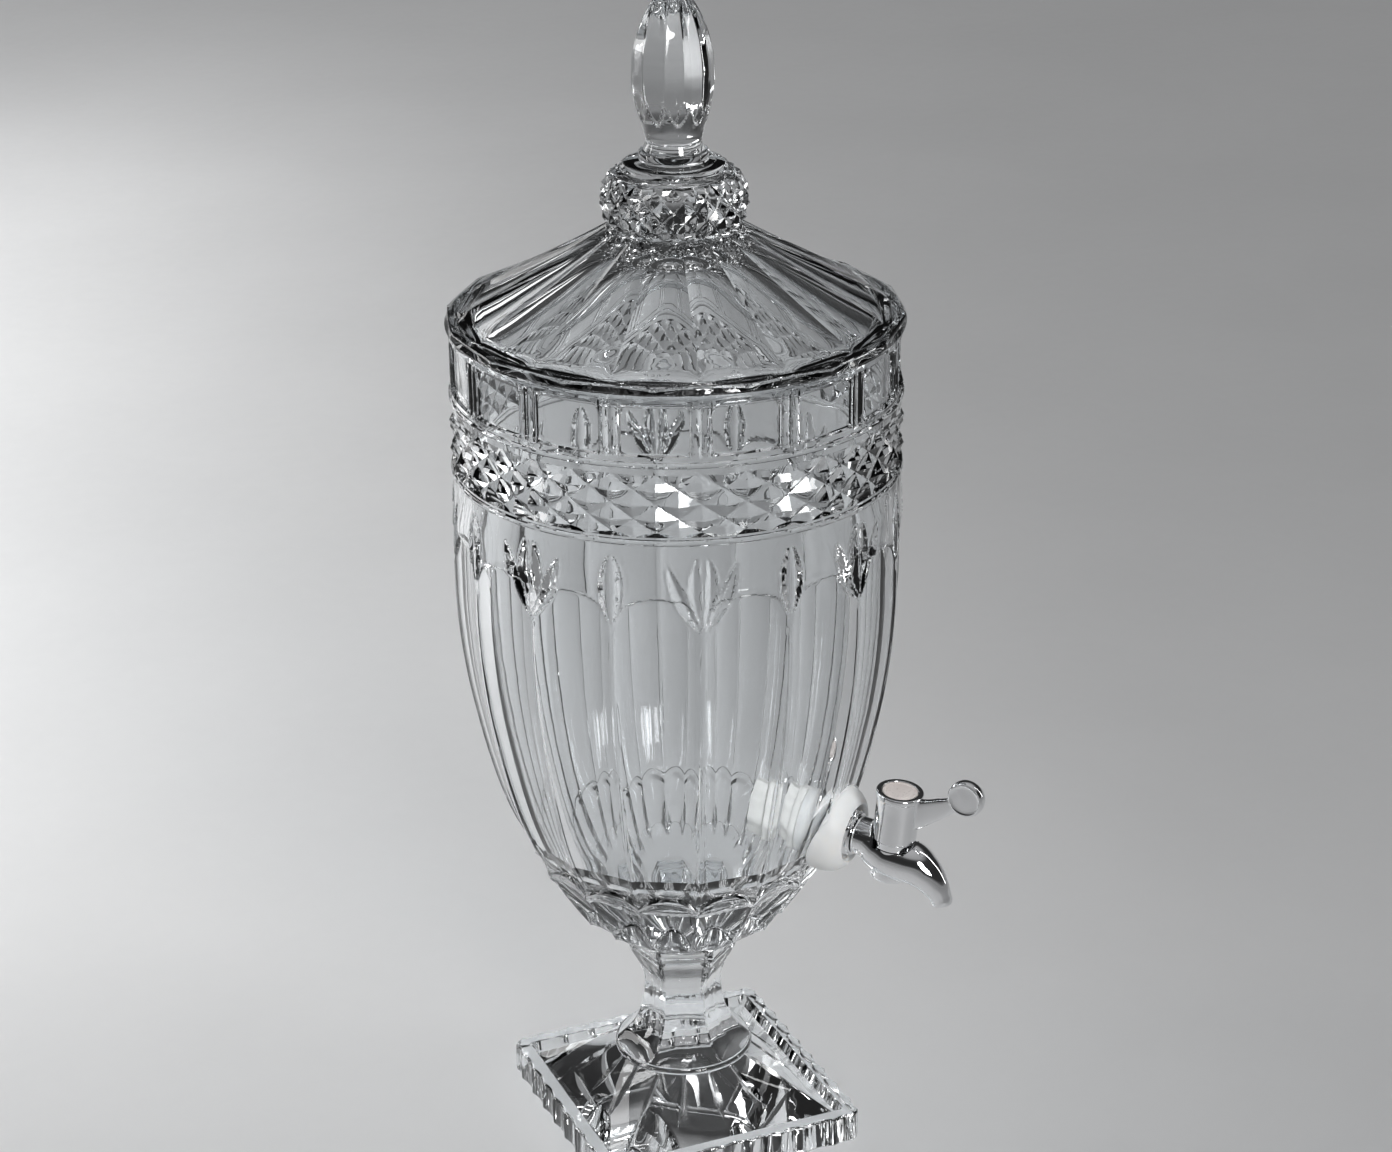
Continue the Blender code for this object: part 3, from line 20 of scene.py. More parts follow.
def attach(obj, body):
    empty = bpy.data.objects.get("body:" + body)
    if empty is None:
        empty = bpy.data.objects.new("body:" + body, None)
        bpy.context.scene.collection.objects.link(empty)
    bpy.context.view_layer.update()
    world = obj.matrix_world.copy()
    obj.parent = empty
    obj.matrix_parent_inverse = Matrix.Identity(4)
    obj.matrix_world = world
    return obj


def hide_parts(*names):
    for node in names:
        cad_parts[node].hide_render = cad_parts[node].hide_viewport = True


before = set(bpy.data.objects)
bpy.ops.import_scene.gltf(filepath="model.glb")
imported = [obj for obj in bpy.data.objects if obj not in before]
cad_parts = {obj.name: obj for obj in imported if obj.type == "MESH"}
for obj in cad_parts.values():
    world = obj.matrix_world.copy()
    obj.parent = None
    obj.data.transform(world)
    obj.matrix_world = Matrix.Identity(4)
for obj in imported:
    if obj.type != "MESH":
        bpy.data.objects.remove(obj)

log = logging.getLogger("dispenser")

MM = 0.001
FULL_TURN = 2 * pi
FLUTE_TURN = radians(22.5)
MERGE_DISTANCE = 0.000004
FINE_MERGE_DISTANCE = MERGE_DISTANCE / 10
SHADER = "Principled BSDF"
CUT_LAYER = "cut"

CELL_SHARES = (0.0, 0.12, 0.5, 0.88)
VALLEY_SHARE = 0.02
SLOPE_SHARE = 0.94

Spots = Sequence[tuple[float, float]]
Colour = tuple[float, float, float]
Limits = Callable[[np.ndarray], np.ndarray]
Shares = Callable[[np.ndarray, np.ndarray, np.ndarray], np.ndarray]


class Slot(Enum):
    """The record's material slots."""

    CRYSTAL = "crystal_glass"
    CHROME = "chrome_plate"
    SILICONE = "white_silicone"
    PLASTIC = "white_plastic"
    RUBBER = "black_rubber"
    STEEL = "bright_steel"
    BADGE = "pale_badge"


class Body(Enum):
    """The CAD model's bodies."""

    DISPENSER = "dispenser"
    LID = "lid"
    HANDLE = "handle"


# Curves and meshes


class SmoothCurve:
    """A smooth curve through given spots that never swings past them."""

    def __init__(self, spots: Spots) -> None:
        """Work out the slope at each spot.

        Args:
            spots: (place, value) pairs with rising places.
        """
        self.places = np.array([place for place, value in spots], float)
        self.values = np.array([value for place, value in spots], float)
        self.steps = np.diff(self.places)
        rises = np.diff(self.values) / self.steps
        self.slopes = np.zeros_like(self.places)
        self.slopes[0] = rises[0]
        self.slopes[-1] = rises[-1]
        before = rises[:-1]
        after = rises[1:]
        agree = before * after > 0
        total = np.where(agree, before + after, 1.0)
        self.slopes[1:-1] = np.where(agree, 2 * before * after / total, 0.0)

    def __call__(self, place: np.ndarray | float) -> np.ndarray:
        """The curve's value.

        Args:
            place: where to read the curve, held within its ends.

        Returns:
            The value there.
        """
        place = np.clip(place, self.places[0], self.places[-1])
        index = np.clip(np.searchsorted(self.places, place) - 1, 0, len(self.steps) - 1)
        step = self.steps[index]
        share = (place - self.places[index]) / step
        turned = 1 - share
        ends = self.values[index] * turned * turned * (1 + 2 * share)
        ends = ends + self.values[index + 1] * share * share * (3 - 2 * share)
        pull = self.slopes[index] * turned - self.slopes[index + 1] * share
        return ends + pull * share * turned * step


def smooth_step(share: np.ndarray | float) -> np.ndarray:
    """Ease a share in and out, held between 0 and 1."""
    share = np.clip(share, 0, 1)
    return share * share * (3 - 2 * share)


def polar(turns: np.ndarray, radii: np.ndarray | float, heights: np.ndarray | float) -> np.ndarray:
    """Points at turns counted from the tap's side.

    Args:
        turns: angles in radians.
        radii: distances from the axis.
        heights: heights.

    Returns:
        One row of x, y, z for each turn.
    """
    turns = np.asarray(turns, float)
    radii = np.broadcast_to(radii, turns.shape)
    heights = np.broadcast_to(heights, turns.shape)
    return np.stack([radii * np.sin(turns), -radii * np.cos(turns), heights], axis=-1)


def cell_places(cells: int) -> list[float]:
    """Places along a row of pressed pyramids.

    Args:
        cells: how many pyramids the row has.

    Returns:
        The places, in cells, with those that a pyramid's foot, slopes and peak need.
    """
    return [cell + share for cell in range(cells) for share in CELL_SHARES] + [float(cells)]


def pyramid_peaks(along: np.ndarray, row: float) -> np.ndarray:
    """How high staggered pyramids stand.

    Args:
        along: places along their row, in cells.
        row: the place across the rows, in cells.

    Returns:
        Shares from a valley (0) to a peak (1).
    """
    falling = np.abs((along + row + 1) % 2 - 1)
    rising = np.abs((along - row + 1) % 2 - 1)
    return np.clip((np.minimum(falling, rising) - VALLEY_SHARE) / SLOPE_SHARE, 0, 1)


def hexagon_shares(turns: np.ndarray) -> tuple[np.ndarray, np.ndarray]:
    """Where turns meet a hexagon that has a corner at turn 0.

    Args:
        turns: angles in radians.

    Returns:
        The reach of its sides as a share of its corners' reach, and how far each turn lies from the
        nearest corner (0) to the middle of a side (1).
    """
    half = FULL_TURN / 12
    off = np.abs((turns + half) % (2 * half) - half)
    return cos(half) / np.cos(half - off), off / half


class Skin:
    """A surface joined from rings of points, listed along it from its first end to its last."""

    def __init__(self, closed: bool = True) -> None:
        """Start with no rings.

        Args:
            closed: whether each ring goes all the way round.
        """
        self.closed = closed
        self.rings: list[np.ndarray] = []
        self.places: list[np.ndarray] = []

    def add(self, points: np.ndarray, places: np.ndarray | None = None) -> None:
        """Add a ring.

        Args:
            points: its points, or a single one for a pole.
            places: rising numbers that say how far round each point lies.
        """
        points = np.atleast_2d(points)
        self.rings.append(points)
        if places is None:
            places = np.arange(len(points)) * FULL_TURN / len(points)
        self.places.append(np.asarray(places, float))

    def pole(self, height: float) -> None:
        """Add a single point on the axis."""
        self.add(np.array([[0.0, 0.0, height]]))

    def _even_band(self, low: int, high: int, count: int, reach: np.ndarray) -> list[list[int]]:
        """Faces between two rings of equally many points, split along the diagonal nearer the axis.

        Args:
            low: the number of the first ring's first point.
            high: the number of the second ring's first point.
            count: how many points a ring has.
            reach: every point's distance from the axis.

        Returns:
            The faces, as lists of point numbers.
        """
        faces = []
        last = count if self.closed else count - 1
        here = np.arange(last)
        after = (here + 1) % count
        corners = np.stack([low + here, low + after, high + after, high + here], axis=1)
        spread = reach[corners]
        across = spread[:, 0] + spread[:, 2] <= spread[:, 1] + spread[:, 3]
        for quad, straight in zip(corners.tolist(), across.tolist()):
            first, second, third, fourth = quad if straight else quad[1:] + quad[:1]
            faces += [[first, second, third], [first, third, fourth]]
        return faces

    def _zip_band(self, low: int, high: int, index: int) -> list[list[int]]:
        """Faces between two rings of unlike numbers of points.

        Args:
            low: the number of the first ring's first point.
            high: the number of the second ring's first point.
            index: which ring the first one is.

        Returns:
            The faces, as lists of point numbers.
        """
        sides = []
        for start, ring in ((low, index), (high, index + 1)):
            places = list(self.places[ring])
            points = [start + step for step in range(len(places))]
            if self.closed and len(points) > 1:
                places.append(places[0] + FULL_TURN)
                points.append(start)
            sides.append((points, places))
        (first, first_places), (second, second_places) = sides
        faces = []
        here = there = 0
        while here < len(first) - 1 or there < len(second) - 1:
            step_first = here < len(first) - 1
            if step_first and there < len(second) - 1:
                step_first = first_places[here + 1] <= second_places[there + 1]
            if step_first:
                faces.append([first[here], first[here + 1], second[there]])
                here += 1
            else:
                faces.append([first[here], second[there + 1], second[there]])
                there += 1
        return faces

    def mesh(self, name: str, matrix: Matrix | None = None) -> bpy.types.Mesh:
        """Join the rings into a mesh.

        Args:
            name: the mesh's name.
            matrix: where to put it, in metres.

        Returns:
            The mesh, in metres.
        """
        starts = np.cumsum([0] + [len(ring) for ring in self.rings]).tolist()
        points = np.concatenate(self.rings)
        reach = np.hypot(points[:, 0], points[:, 1])
        faces = []
        for index in range(len(self.rings) - 1):
            count = len(self.rings[index])
            if count > 1 and count == len(self.rings[index + 1]):
                faces += self._even_band(starts[index], starts[index + 1], count, reach)
            else:
                faces += self._zip_band(starts[index], starts[index + 1], index)
        mesh = bpy.data.meshes.new(name)
        mesh.from_pydata((points * MM).tolist(), [], faces)
        if matrix is not None:
            mesh.transform(matrix)
        return mesh


def turned(name: str, outline: Spots, columns: int = 96,
           matrix: Matrix | None = None) -> bpy.types.Mesh:
    """A turned form.

    Args:
        name: the mesh's name.
        outline: (radius, height) spots from the lower pole up the outside and down to the upper
            pole. A zero radius is a pole.
        columns: how many points go round.
        matrix: where to put it, in metres.

    Returns:
        The mesh.
    """
    turns = np.arange(columns) * FULL_TURN / columns
    skin = Skin()
    for radius, height in outline:
        if radius == 0:
            skin.pole(height)
        else:
            skin.add(polar(turns, radius, height), turns)
    mesh = skin.mesh(name, matrix)
    weld(mesh)
    return mesh


def cylinder(radius: float, low: float, high: float) -> Spots:
    """The outline of a plain cylinder between two heights."""
    return (0, low), (radius, low), (radius, high), (0, high)


def rounded(outline: Spots, fillets: dict[int, float], steps: int = 5) -> list[tuple[float, float]]:
    """Round the corners of an outline.

    Args:
        outline: (radius, height) spots.
        fillets: the rounding's radius for the numbered spots.
        steps: how many points replace a corner.

    Returns:
        The outline with arcs at those corners.
    """
    made = []
    for index, spot in enumerate(outline):
        if index not in fillets:
            made.append(spot)
            continue
        corner = Vector(spot)
        before = (Vector(outline[index - 1]) - corner).normalized()
        after = (Vector(outline[(index + 1) % len(outline)]) - corner).normalized()
        half = before.angle(after) / 2
        start = corner + before * fillets[index] / tan(half)
        end = corner + after * fillets[index] / tan(half)
        for step in range(steps + 1):
            share = step / steps
            low = start.lerp(corner, share)
            high = corner.lerp(end, share)
            made.append(tuple(low.lerp(high, share)))
    return made


def weld(mesh: bpy.types.Mesh, distance: float = MERGE_DISTANCE) -> None:
    """Join points that lie together, drop faces without an area and split the rest into triangles.

    Args:
        mesh: the mesh.
        distance: how near each other points are joined, in metres.
    """
    form = bmesh.new()
    form.from_mesh(mesh)
    bmesh.ops.remove_doubles(form, verts=form.verts, dist=distance)
    bmesh.ops.dissolve_degenerate(form, edges=form.edges, dist=distance / 4)
    bmesh.ops.triangulate(form, faces=form.faces)
    form.to_mesh(mesh)
    form.free()
    mesh.validate()


def face_outwards(mesh: bpy.types.Mesh) -> None:
    """Turn the faces of a closed mesh outwards.

    Args:
        mesh: the mesh.
    """
    form = bmesh.new()
    form.from_mesh(mesh)
    bmesh.ops.recalc_face_normals(form, faces=form.faces)
    form.to_mesh(mesh)
    form.free()


def mark_sharp(mesh: bpy.types.Mesh, limits: Limits) -> None:
    """Shade a mesh smooth and mark the edges whose faces meet at more than a limit.

    Args:
        mesh: the mesh.
        limits: gives the limit in radians for each face's centre, in millimetres.
    """
    mesh.shade_smooth()
    count = len(mesh.polygons)
    normals = np.empty(count * 3)
    centres = np.empty(count * 3)
    totals = np.empty(count, int)
    mesh.polygons.foreach_get("normal", normals)
    mesh.polygons.foreach_get("center", centres)
    mesh.polygons.foreach_get("loop_total", totals)
    normals = normals.reshape(-1, 3)
    limit = limits(centres.reshape(-1, 3) / MM)
    edges = np.empty(len(mesh.loops), int)
    mesh.loops.foreach_get("edge_index", edges)
    faces = np.repeat(np.arange(count), totals)
    order = np.argsort(edges, kind="stable")
    edges = edges[order]
    faces = faces[order]
    shared = edges[1:] == edges[:-1]
    first = faces[:-1][shared]
    second = faces[1:][shared]
    cosines = np.einsum("ij,ij->i", normals[first], normals[second])
    sharp = cosines < np.cos(np.minimum(limit[first], limit[second]))
    flags = np.zeros(len(mesh.edges), bool)
    flags[edges[:-1][shared][sharp]] = True
    layer = mesh.attributes.get("sharp_edge") or mesh.attributes.new("sharp_edge", "BOOLEAN", "EDGE")
    layer.data.foreach_set("value", flags)


def mark_cuts(mesh: bpy.types.Mesh, inside: Shares) -> None:
    """Write how far each point of a mesh lies in a satin cut.

    Args:
        mesh: the mesh.
        inside: gives the share at turns, distances from the axis and heights, in millimetres.
    """
    spots = np.empty(len(mesh.vertices) * 3)
    mesh.vertices.foreach_get("co", spots)
    spots = spots.reshape(-1, 3) / MM
    turns = np.arctan2(spots[:, 0], -spots[:, 1]) % FULL_TURN
    shares = inside(turns, np.hypot(spots[:, 0], spots[:, 1]), spots[:, 2])
    layer = mesh.attributes.new(CUT_LAYER, "FLOAT", "POINT")
    layer.data.foreach_set("value", shares.astype(np.float32))


def even_limit(degrees: float) -> Limits:
    """The same limit for every face.

    Args:
        degrees: the limit.

    Returns:
        A function of the faces' centres.
    """
    return lambda centres: np.full(len(centres), radians(degrees))


def new_object(name: str, data: bpy.types.ID) -> bpy.types.Object:
    """A new object in the scene.

    Args:
        name: its name.
        data: its mesh, lamp or camera.

    Returns:
        The object.
    """
    thing = bpy.data.objects.new(name, data)
    bpy.context.scene.collection.objects.link(thing)
    return thing


def settle(thing: bpy.types.Object) -> None:
    """Turn an object with its modifiers into a plain mesh.

    Args:
        thing: the object.
    """
    view = bpy.context.evaluated_depsgraph_get()
    mesh = bpy.data.meshes.new_from_object(thing.evaluated_get(view))
    thing.modifiers.clear()
    thing.data = mesh
    mesh.name = thing.name


def join(thing: bpy.types.Object, others: Sequence[bpy.types.Mesh], operation: str) -> None:
    """Join forms to an object, or cut them out.

    Args:
        thing: the object.
        others: closed meshes.
        operation: UNION or DIFFERENCE.
    """
    helpers = []
    for number, other in enumerate(others):
        helper = new_object(f"{thing.name}_form_{number}", other)
        modifier = thing.modifiers.new(operation.lower(), "BOOLEAN")
        modifier.operation = operation
        modifier.solver = "EXACT"
        modifier.object = helper
        helpers.append(helper)
    settle(thing)
    for helper in helpers:
        bpy.data.objects.remove(helper, do_unlink=True)


def joined(name: str, meshes: Sequence[bpy.types.Mesh]) -> bpy.types.Mesh:
    """One mesh out of several, welded where they meet.

    Args:
        name: the mesh's name.
        meshes: the meshes.

    Returns:
        The new mesh.
    """
    form = bmesh.new()
    for mesh in meshes:
        form.from_mesh(mesh)
    made = bpy.data.meshes.new(name)
    form.to_mesh(made)
    form.free()
    weld(made)
    return made


# Node trees


class NodeBench:
    """Adds nodes to a tree and links them."""

    def __init__(self, tree: bpy.types.NodeTree) -> None:
        """Take up a tree.

        Args:
            tree: a shader or a geometry node tree.
        """
        self.tree = tree

    def add(self, kind: str, inputs: dict | None = None, **settings: object) -> bpy.types.Node:
        """Add a node.

        Args:
            kind: the node's type.
            inputs: socket names or numbers, with a value or an output socket for each.
            settings: properties of the node.

        Returns:
            The node.
        """
        node = self.tree.nodes.new(kind)
        for key, value in settings.items():
            setattr(node, key, value)
        for key, value in (inputs or {}).items():
            self.set(node.inputs[key], value)
        return node

    def set(self, socket: bpy.types.NodeSocket, value: object) -> None:
        """Give a socket a value, or link an output to it.

        Args:
            socket: the input socket.
            value: a value or an output socket.
        """
        if isinstance(value, bpy.types.NodeSocket):
            self.tree.links.new(value, socket)
        else:
            socket.default_value = value


def new_geometry_tree(name: str, sockets: dict[str, str]) -> tuple[bpy.types.NodeTree, NodeBench]:
    """A geometry node tree with named inputs.

    Args:
        name: the tree's name.
        sockets: each input's name with its socket type.

    Returns:
        The tree, and a bench for adding nodes to it.
    """
    tree = bpy.data.node_groups.new(name, "GeometryNodeTree")
    tree.interface.new_socket("Geometry", in_out="INPUT", socket_type="NodeSocketGeometry")
    for label, kind in sockets.items():
        tree.interface.new_socket(label, in_out="INPUT", socket_type=kind)
    tree.interface.new_socket("Geometry", in_out="OUTPUT", socket_type="NodeSocketGeometry")
    return tree, NodeBench(tree)


def run_tree(thing: bpy.types.Object, tree: bpy.types.NodeTree,
             values: dict[str, object]) -> None:
    """Run a geometry node tree on an object and keep its result as a plain mesh.

    Args:
        thing: the object.
        tree: the tree.
        values: a value for each named input.
    """
    modifier = thing.modifiers.new(tree.name, "NODES")
    modifier.node_group = tree
    for item in tree.interface.items_tree:
        if item.name in values:
            modifier[item.identifier] = values[item.name]
    settle(thing)


def round_repeat_tree() -> bpy.types.NodeTree:
    """A tree that repeats a sector round the upright axis and welds it into one skin.

    Returns:
        The tree.
    """
    tree, bench = new_geometry_tree("round_repeat", {
        "Repeats": "NodeSocketInt", "Merge Distance": "NodeSocketFloat",
        "Finish": "NodeSocketMaterial",
    })
    given = bench.add("NodeGroupInput").outputs
    points = bench.add("GeometryNodeMeshLine", {"Count": given["Repeats"], "Offset": (0, 0, 0)})
    share = bench.add("ShaderNodeMath", {
        0: bench.add("GeometryNodeInputIndex").outputs[0], 1: given["Repeats"],
    }, operation="DIVIDE")
    turn = bench.add("ShaderNodeMath", {0: share.outputs[0], 1: FULL_TURN}, operation="MULTIPLY")
    turns = bench.add("ShaderNodeCombineXYZ", {"Z": turn.outputs[0]})
    copies = bench.add("GeometryNodeInstanceOnPoints", {
        "Points": points.outputs[0], "Instance": given["Geometry"], "Rotation": turns.outputs[0],
    })
    solid = bench.add("GeometryNodeRealizeInstances", {0: copies.outputs[0]})
    welded = bench.add("GeometryNodeMergeByDistance", {
        "Geometry": solid.outputs[0], "Distance": given["Merge Distance"],
    })
    coated = bench.add("GeometryNodeSetMaterial", {
        "Geometry": welded.outputs[0], "Material": given["Finish"],
    })
    bench.add("NodeGroupOutput", {0: coated.outputs[0]})
    return tree


def thread_tree() -> bpy.types.NodeTree:
    """A tree that winds a screw thread up the upright axis.

    Returns:
        The tree.
    """
    tree, bench = new_geometry_tree("screw_thread", {
        "Radius": "NodeSocketFloat", "Length": "NodeSocketFloat", "Turns": "NodeSocketFloat",
        "Crest": "NodeSocketFloat", "Finish": "NodeSocketMaterial",
    })
    given = bench.add("NodeGroupInput").outputs
    spiral = bench.add("GeometryNodeCurveSpiral", {
        "Resolution": 40, "Rotations": given["Turns"], "Start Radius": given["Radius"],
        "End Radius": given["Radius"], "Height": given["Length"],
    })
    section = bench.add("GeometryNodeCurvePrimitiveCircle", {
        "Resolution": 6, "Radius": given["Crest"],
    })
    wound = bench.add("GeometryNodeCurveToMesh", {
        "Curve": spiral.outputs[0], "Profile Curve": section.outputs[0], "Fill Caps": True,
    })
    solid = bench.add("GeometryNodeRealizeInstances", {0: wound.outputs[0]})
    coated = bench.add("GeometryNodeSetMaterial", {
        "Geometry": solid.outputs[0], "Material": given["Finish"],
    })
    bench.add("NodeGroupOutput", {0: coated.outputs[0]})
    return tree


@dataclass(frozen=True)
class Bench:
    """What the sub-assemblies share: the finishes and the geometry node trees."""

    finishes: dict[Slot, bpy.types.Material]
    round_repeat: bpy.types.NodeTree
    thread: bpy.types.NodeTree

    def repeat(self, thing: bpy.types.Object, count: int, slot: Slot) -> None:
        """Repeat an object's sector all the way round.

        Args:
            thing: the object.
            count: how many sectors there are.
            slot: the finish's slot.
        """
        run_tree(thing, self.round_repeat, {
            "Repeats": count, "Merge Distance": MERGE_DISTANCE, "Finish": self.finishes[slot],
        })

    def hand_over(self, thing: bpy.types.Object, slot: Slot, body: Body, limits: Limits,
                  replaced: str = "") -> bpy.types.Object:
        """Dress a finished piece, hang it on the CAD body it moves with, and hide the CAD node it is
        shown instead of.

        Returns:
            The piece.
        """
        mark_sharp(thing.data, limits)
        thing.data.materials.clear()
        thing.data.materials.append(self.finishes[slot])
        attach(thing, body.value)
        if replaced:
            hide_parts(replaced)
        log.info("%s: %d faces, in %s", thing.name, len(thing.data.polygons), slot.value)
        return thing


# Finishes


def new_material(name: str) -> tuple[bpy.types.Material, NodeBench, bpy.types.Node]:
    """A material with an empty Principled shader.

    Args:
        name: the material's name.

    Returns:
        The material, a bench for its tree, and the shader.
    """
    material = bpy.data.materials.new(name)
    material.use_nodes = True
    return material, NodeBench(material.node_tree), material.node_tree.nodes[SHADER]


@dataclass(frozen=True)
class CrystalGlass:
    """Clear pressed glass: faintly wavy, fire-polished, letting the lamps through."""

    index: float = 1.54
    colour: Colour = (0.90, 0.915, 0.925)
    shadow: Colour = (0.95, 0.955, 0.96)
    shadow_edge: Colour = (0.74, 0.76, 0.77)
    wave_size: float = 45.0
    wave_depth: float = 0.00012
    haze_size: float = 405.0
    haze: float = 0.018
    satin: float = 0.20

    def build(self) -> bpy.types.Material:
        """Make the material.

        Returns:
            The material.
        """
        material, bench, shader = new_material(Slot.CRYSTAL.value)
        spots = bench.add("ShaderNodeTexCoord").outputs["Object"]
        noise = bench.add("ShaderNodeTexNoise", {
            "Vector": spots, "Scale": self.wave_size, "Detail": 2.0,
        })
        fine = bench.add("ShaderNodeTexNoise", {
            "Vector": spots, "Scale": self.haze_size, "Detail": 3.0,
        })
        haze = bench.add("ShaderNodeMapRange", {
            "Value": fine.outputs["Fac"], "From Min": 0.45, "From Max": 0.75, "To Min": 0.0,
            "To Max": self.haze,
        })
        bump = bench.add("ShaderNodeBump", {
            "Height": noise.outputs["Fac"], "Strength": 0.5, "Distance": self.wave_depth,
        })
        shader.inputs["Base Color"].default_value = (*self.colour, 1)
        shader.inputs["Transmission Weight"].default_value = 1.0
        shader.inputs["IOR"].default_value = self.index
        cut = bench.add("ShaderNodeAttribute", attribute_name=CUT_LAYER)
        rough = bench.add("ShaderNodeMath", {
            0: cut.outputs["Fac"], 1: self.satin, 2: haze.outputs[0],
        }, operation="MULTIPLY_ADD")
        bench.set(shader.inputs["Roughness"], rough.outputs[0])
        bench.set(shader.inputs["Normal"], bump.outputs[0])
        edge = bench.add("ShaderNodeLayerWeight", {"Blend": 0.35})
        tint = bench.add("ShaderNodeMix", {
            "Factor": edge.outputs["Facing"], "A": (*self.shadow, 1), "B": (*self.shadow_edge, 1),
        }, data_type="RGBA")
        clear = bench.add("ShaderNodeBsdfTransparent", {"Color": tint.outputs["Result"]})
        ray = bench.add("ShaderNodeLightPath")
        mixed = bench.add("ShaderNodeMixShader", {
            0: ray.outputs["Is Shadow Ray"], 1: shader.outputs[0], 2: clear.outputs[0],
        })
        bench.set(material.node_tree.nodes["Material Output"].inputs["Surface"], mixed.outputs[0])
        return material


@dataclass(frozen=True)
class Plated:
    """Bright metal with faint smears and fine waviness."""

    name: str
    colour: Colour
    smooth: float
    smeared: float
    grain: float = 60.0
    ripple: float = 0.00002

    def build(self) -> bpy.types.Material:
        """Make the material.

        Returns:
            The material.
        """
        material, bench, shader = new_material(self.name)
        spots = bench.add("ShaderNodeTexCoord").outputs["Object"]
        smear = bench.add("ShaderNodeTexNoise", {
            "Vector": spots, "Scale": self.grain, "Detail": 4.0,
        })
        rough = bench.add("ShaderNodeMapRange", {
            "Value": smear.outputs["Fac"], "From Min": 0.35, "From Max": 0.75, "To Min": self.smooth,
            "To Max": self.smeared,
        })
        ripple = bench.add("ShaderNodeTexNoise", {"Vector": spots, "Scale": self.grain * 3})
        bump = bench.add("ShaderNodeBump", {
            "Height": ripple.outputs["Fac"], "Strength": 0.4, "Distance": self.ripple,
        })
        shader.inputs["Base Color"].default_value = (*self.colour, 1)
        shader.inputs["Metallic"].default_value = 1.0
        bench.set(shader.inputs["Roughness"], rough.outputs[0])
        bench.set(shader.inputs["Normal"], bump.outputs[0])
        return material


@dataclass(frozen=True)
class Moulded:
    """A moulded plastic, silicone or rubber, faintly mottled, with a fine skin."""

    name: str
    low: Colour
    high: Colour
    roughness: float
    depth: float = 0.0
    grain: float = 220.0
    skin: float = 0.00003

    def build(self) -> bpy.types.Material:
        """Make the material.

        Returns:
            The material.
        """
        material, bench, shader = new_material(self.name)
        spots = bench.add("ShaderNodeTexCoord").outputs["Object"]
        mottle = bench.add("ShaderNodeTexNoise", {
            "Vector": spots, "Scale": self.grain / 4, "Detail": 3.0,
        })
        ramp = bench.add("ShaderNodeValToRGB", {"Fac": mottle.outputs["Fac"]})
        stops = ramp.color_ramp.elements
        for stop, place, colour in ((stops[0], 0.35, self.low), (stops[1], 0.68, self.high)):
            stop.position = place
            stop.color = (*colour, 1)
        fine = bench.add("ShaderNodeTexNoise", {
            "Vector": spots, "Scale": self.grain * 4, "Detail": 2.0,
        })
        rough = bench.add("ShaderNodeMapRange", {
            "Value": fine.outputs["Fac"], "From Min": 0.3, "From Max": 0.7,
            "To Min": self.roughness * 0.85, "To Max": min(1.0, self.roughness * 1.15),
        })
        bump = bench.add("ShaderNodeBump", {
            "Height": fine.outputs["Fac"], "Strength": 0.35, "Distance": self.skin,
        })
        bench.set(shader.inputs["Base Color"], ramp.outputs["Color"])
        bench.set(shader.inputs["Roughness"], rough.outputs[0])
        bench.set(shader.inputs["Normal"], bump.outputs[0])
        if self.depth > 0:
            shader.inputs["Subsurface Weight"].default_value = 0.6
            shader.inputs["Subsurface Radius"].default_value = (1.0, 0.95, 0.9)
            shader.inputs["Subsurface Scale"].default_value = self.depth
        return material


@dataclass(frozen=True)
class Floor:
    """A plain pale floor that looks lighter than its lamps make it, as a lit backdrop does."""

    low: Colour = (0.66, 0.665, 0.67)
    high: Colour = (0.69, 0.695, 0.70)
    roughness: float = 0.55
    grain: float = 18.0
    skin: float = 0.0001
    glow: float = 0.10

    def build(self) -> bpy.types.Material:
        """Make the material.

        Returns:
            The material.
        """
        material = Moulded("pale_floor", self.low, self.high, self.roughness, grain=self.grain,
                           skin=self.skin).build()
        bench = NodeBench(material.node_tree)
        shader = material.node_tree.nodes[SHADER]
        ray = bench.add("ShaderNodeLightPath")
        mirrored = bench.add("ShaderNodeMath", {
            0: ray.outputs["Is Glossy Ray"], 1: ray.outputs["Is Transmission Ray"],
        }, operation="MAXIMUM")
        seen = bench.add("ShaderNodeMath", {
            0: ray.outputs["Is Camera Ray"], 1: mirrored.outputs[0],
        }, operation="MAXIMUM")
        glow = bench.add("ShaderNodeMath", {
            0: seen.outputs[0], 1: self.glow,
        }, operation="MULTIPLY")
        shader.inputs["Emission Color"].default_value = (1.0, 1.0, 1.0, 1)
        bench.set(shader.inputs["Emission Strength"], glow.outputs[0])
        return material


# Foot


@dataclass(frozen=True)
class FootSizes:
    """Sizes of the foot."""

    half_side: float = 66.75
    slab_height: float = 15.5
    turn: float = radians(5.5)
    corner_round: float = 8.5
    scallops: int = 9
    scallop_depth: float = 1.3
    edge_round: float = 1.5
    border: float = 7.5
    tray_drop: float = 4.0
    tray_slope: float = 2.5
    tray_foot: float = 31.9
    ring_radius: float = 33.6
    ring_low: float = 35.6
    ring_high: float = 39.0
    wedges: int = 16
    wedge_half_width: float = 2.1
    wedge_depth: float = 2.0
    wedge_reach: float = 53.0
    corner_wedge_gain: float = 4.0
    side_hollow: float = 0.012
    blunt_corner: float = 0.985
    columns: int = 432


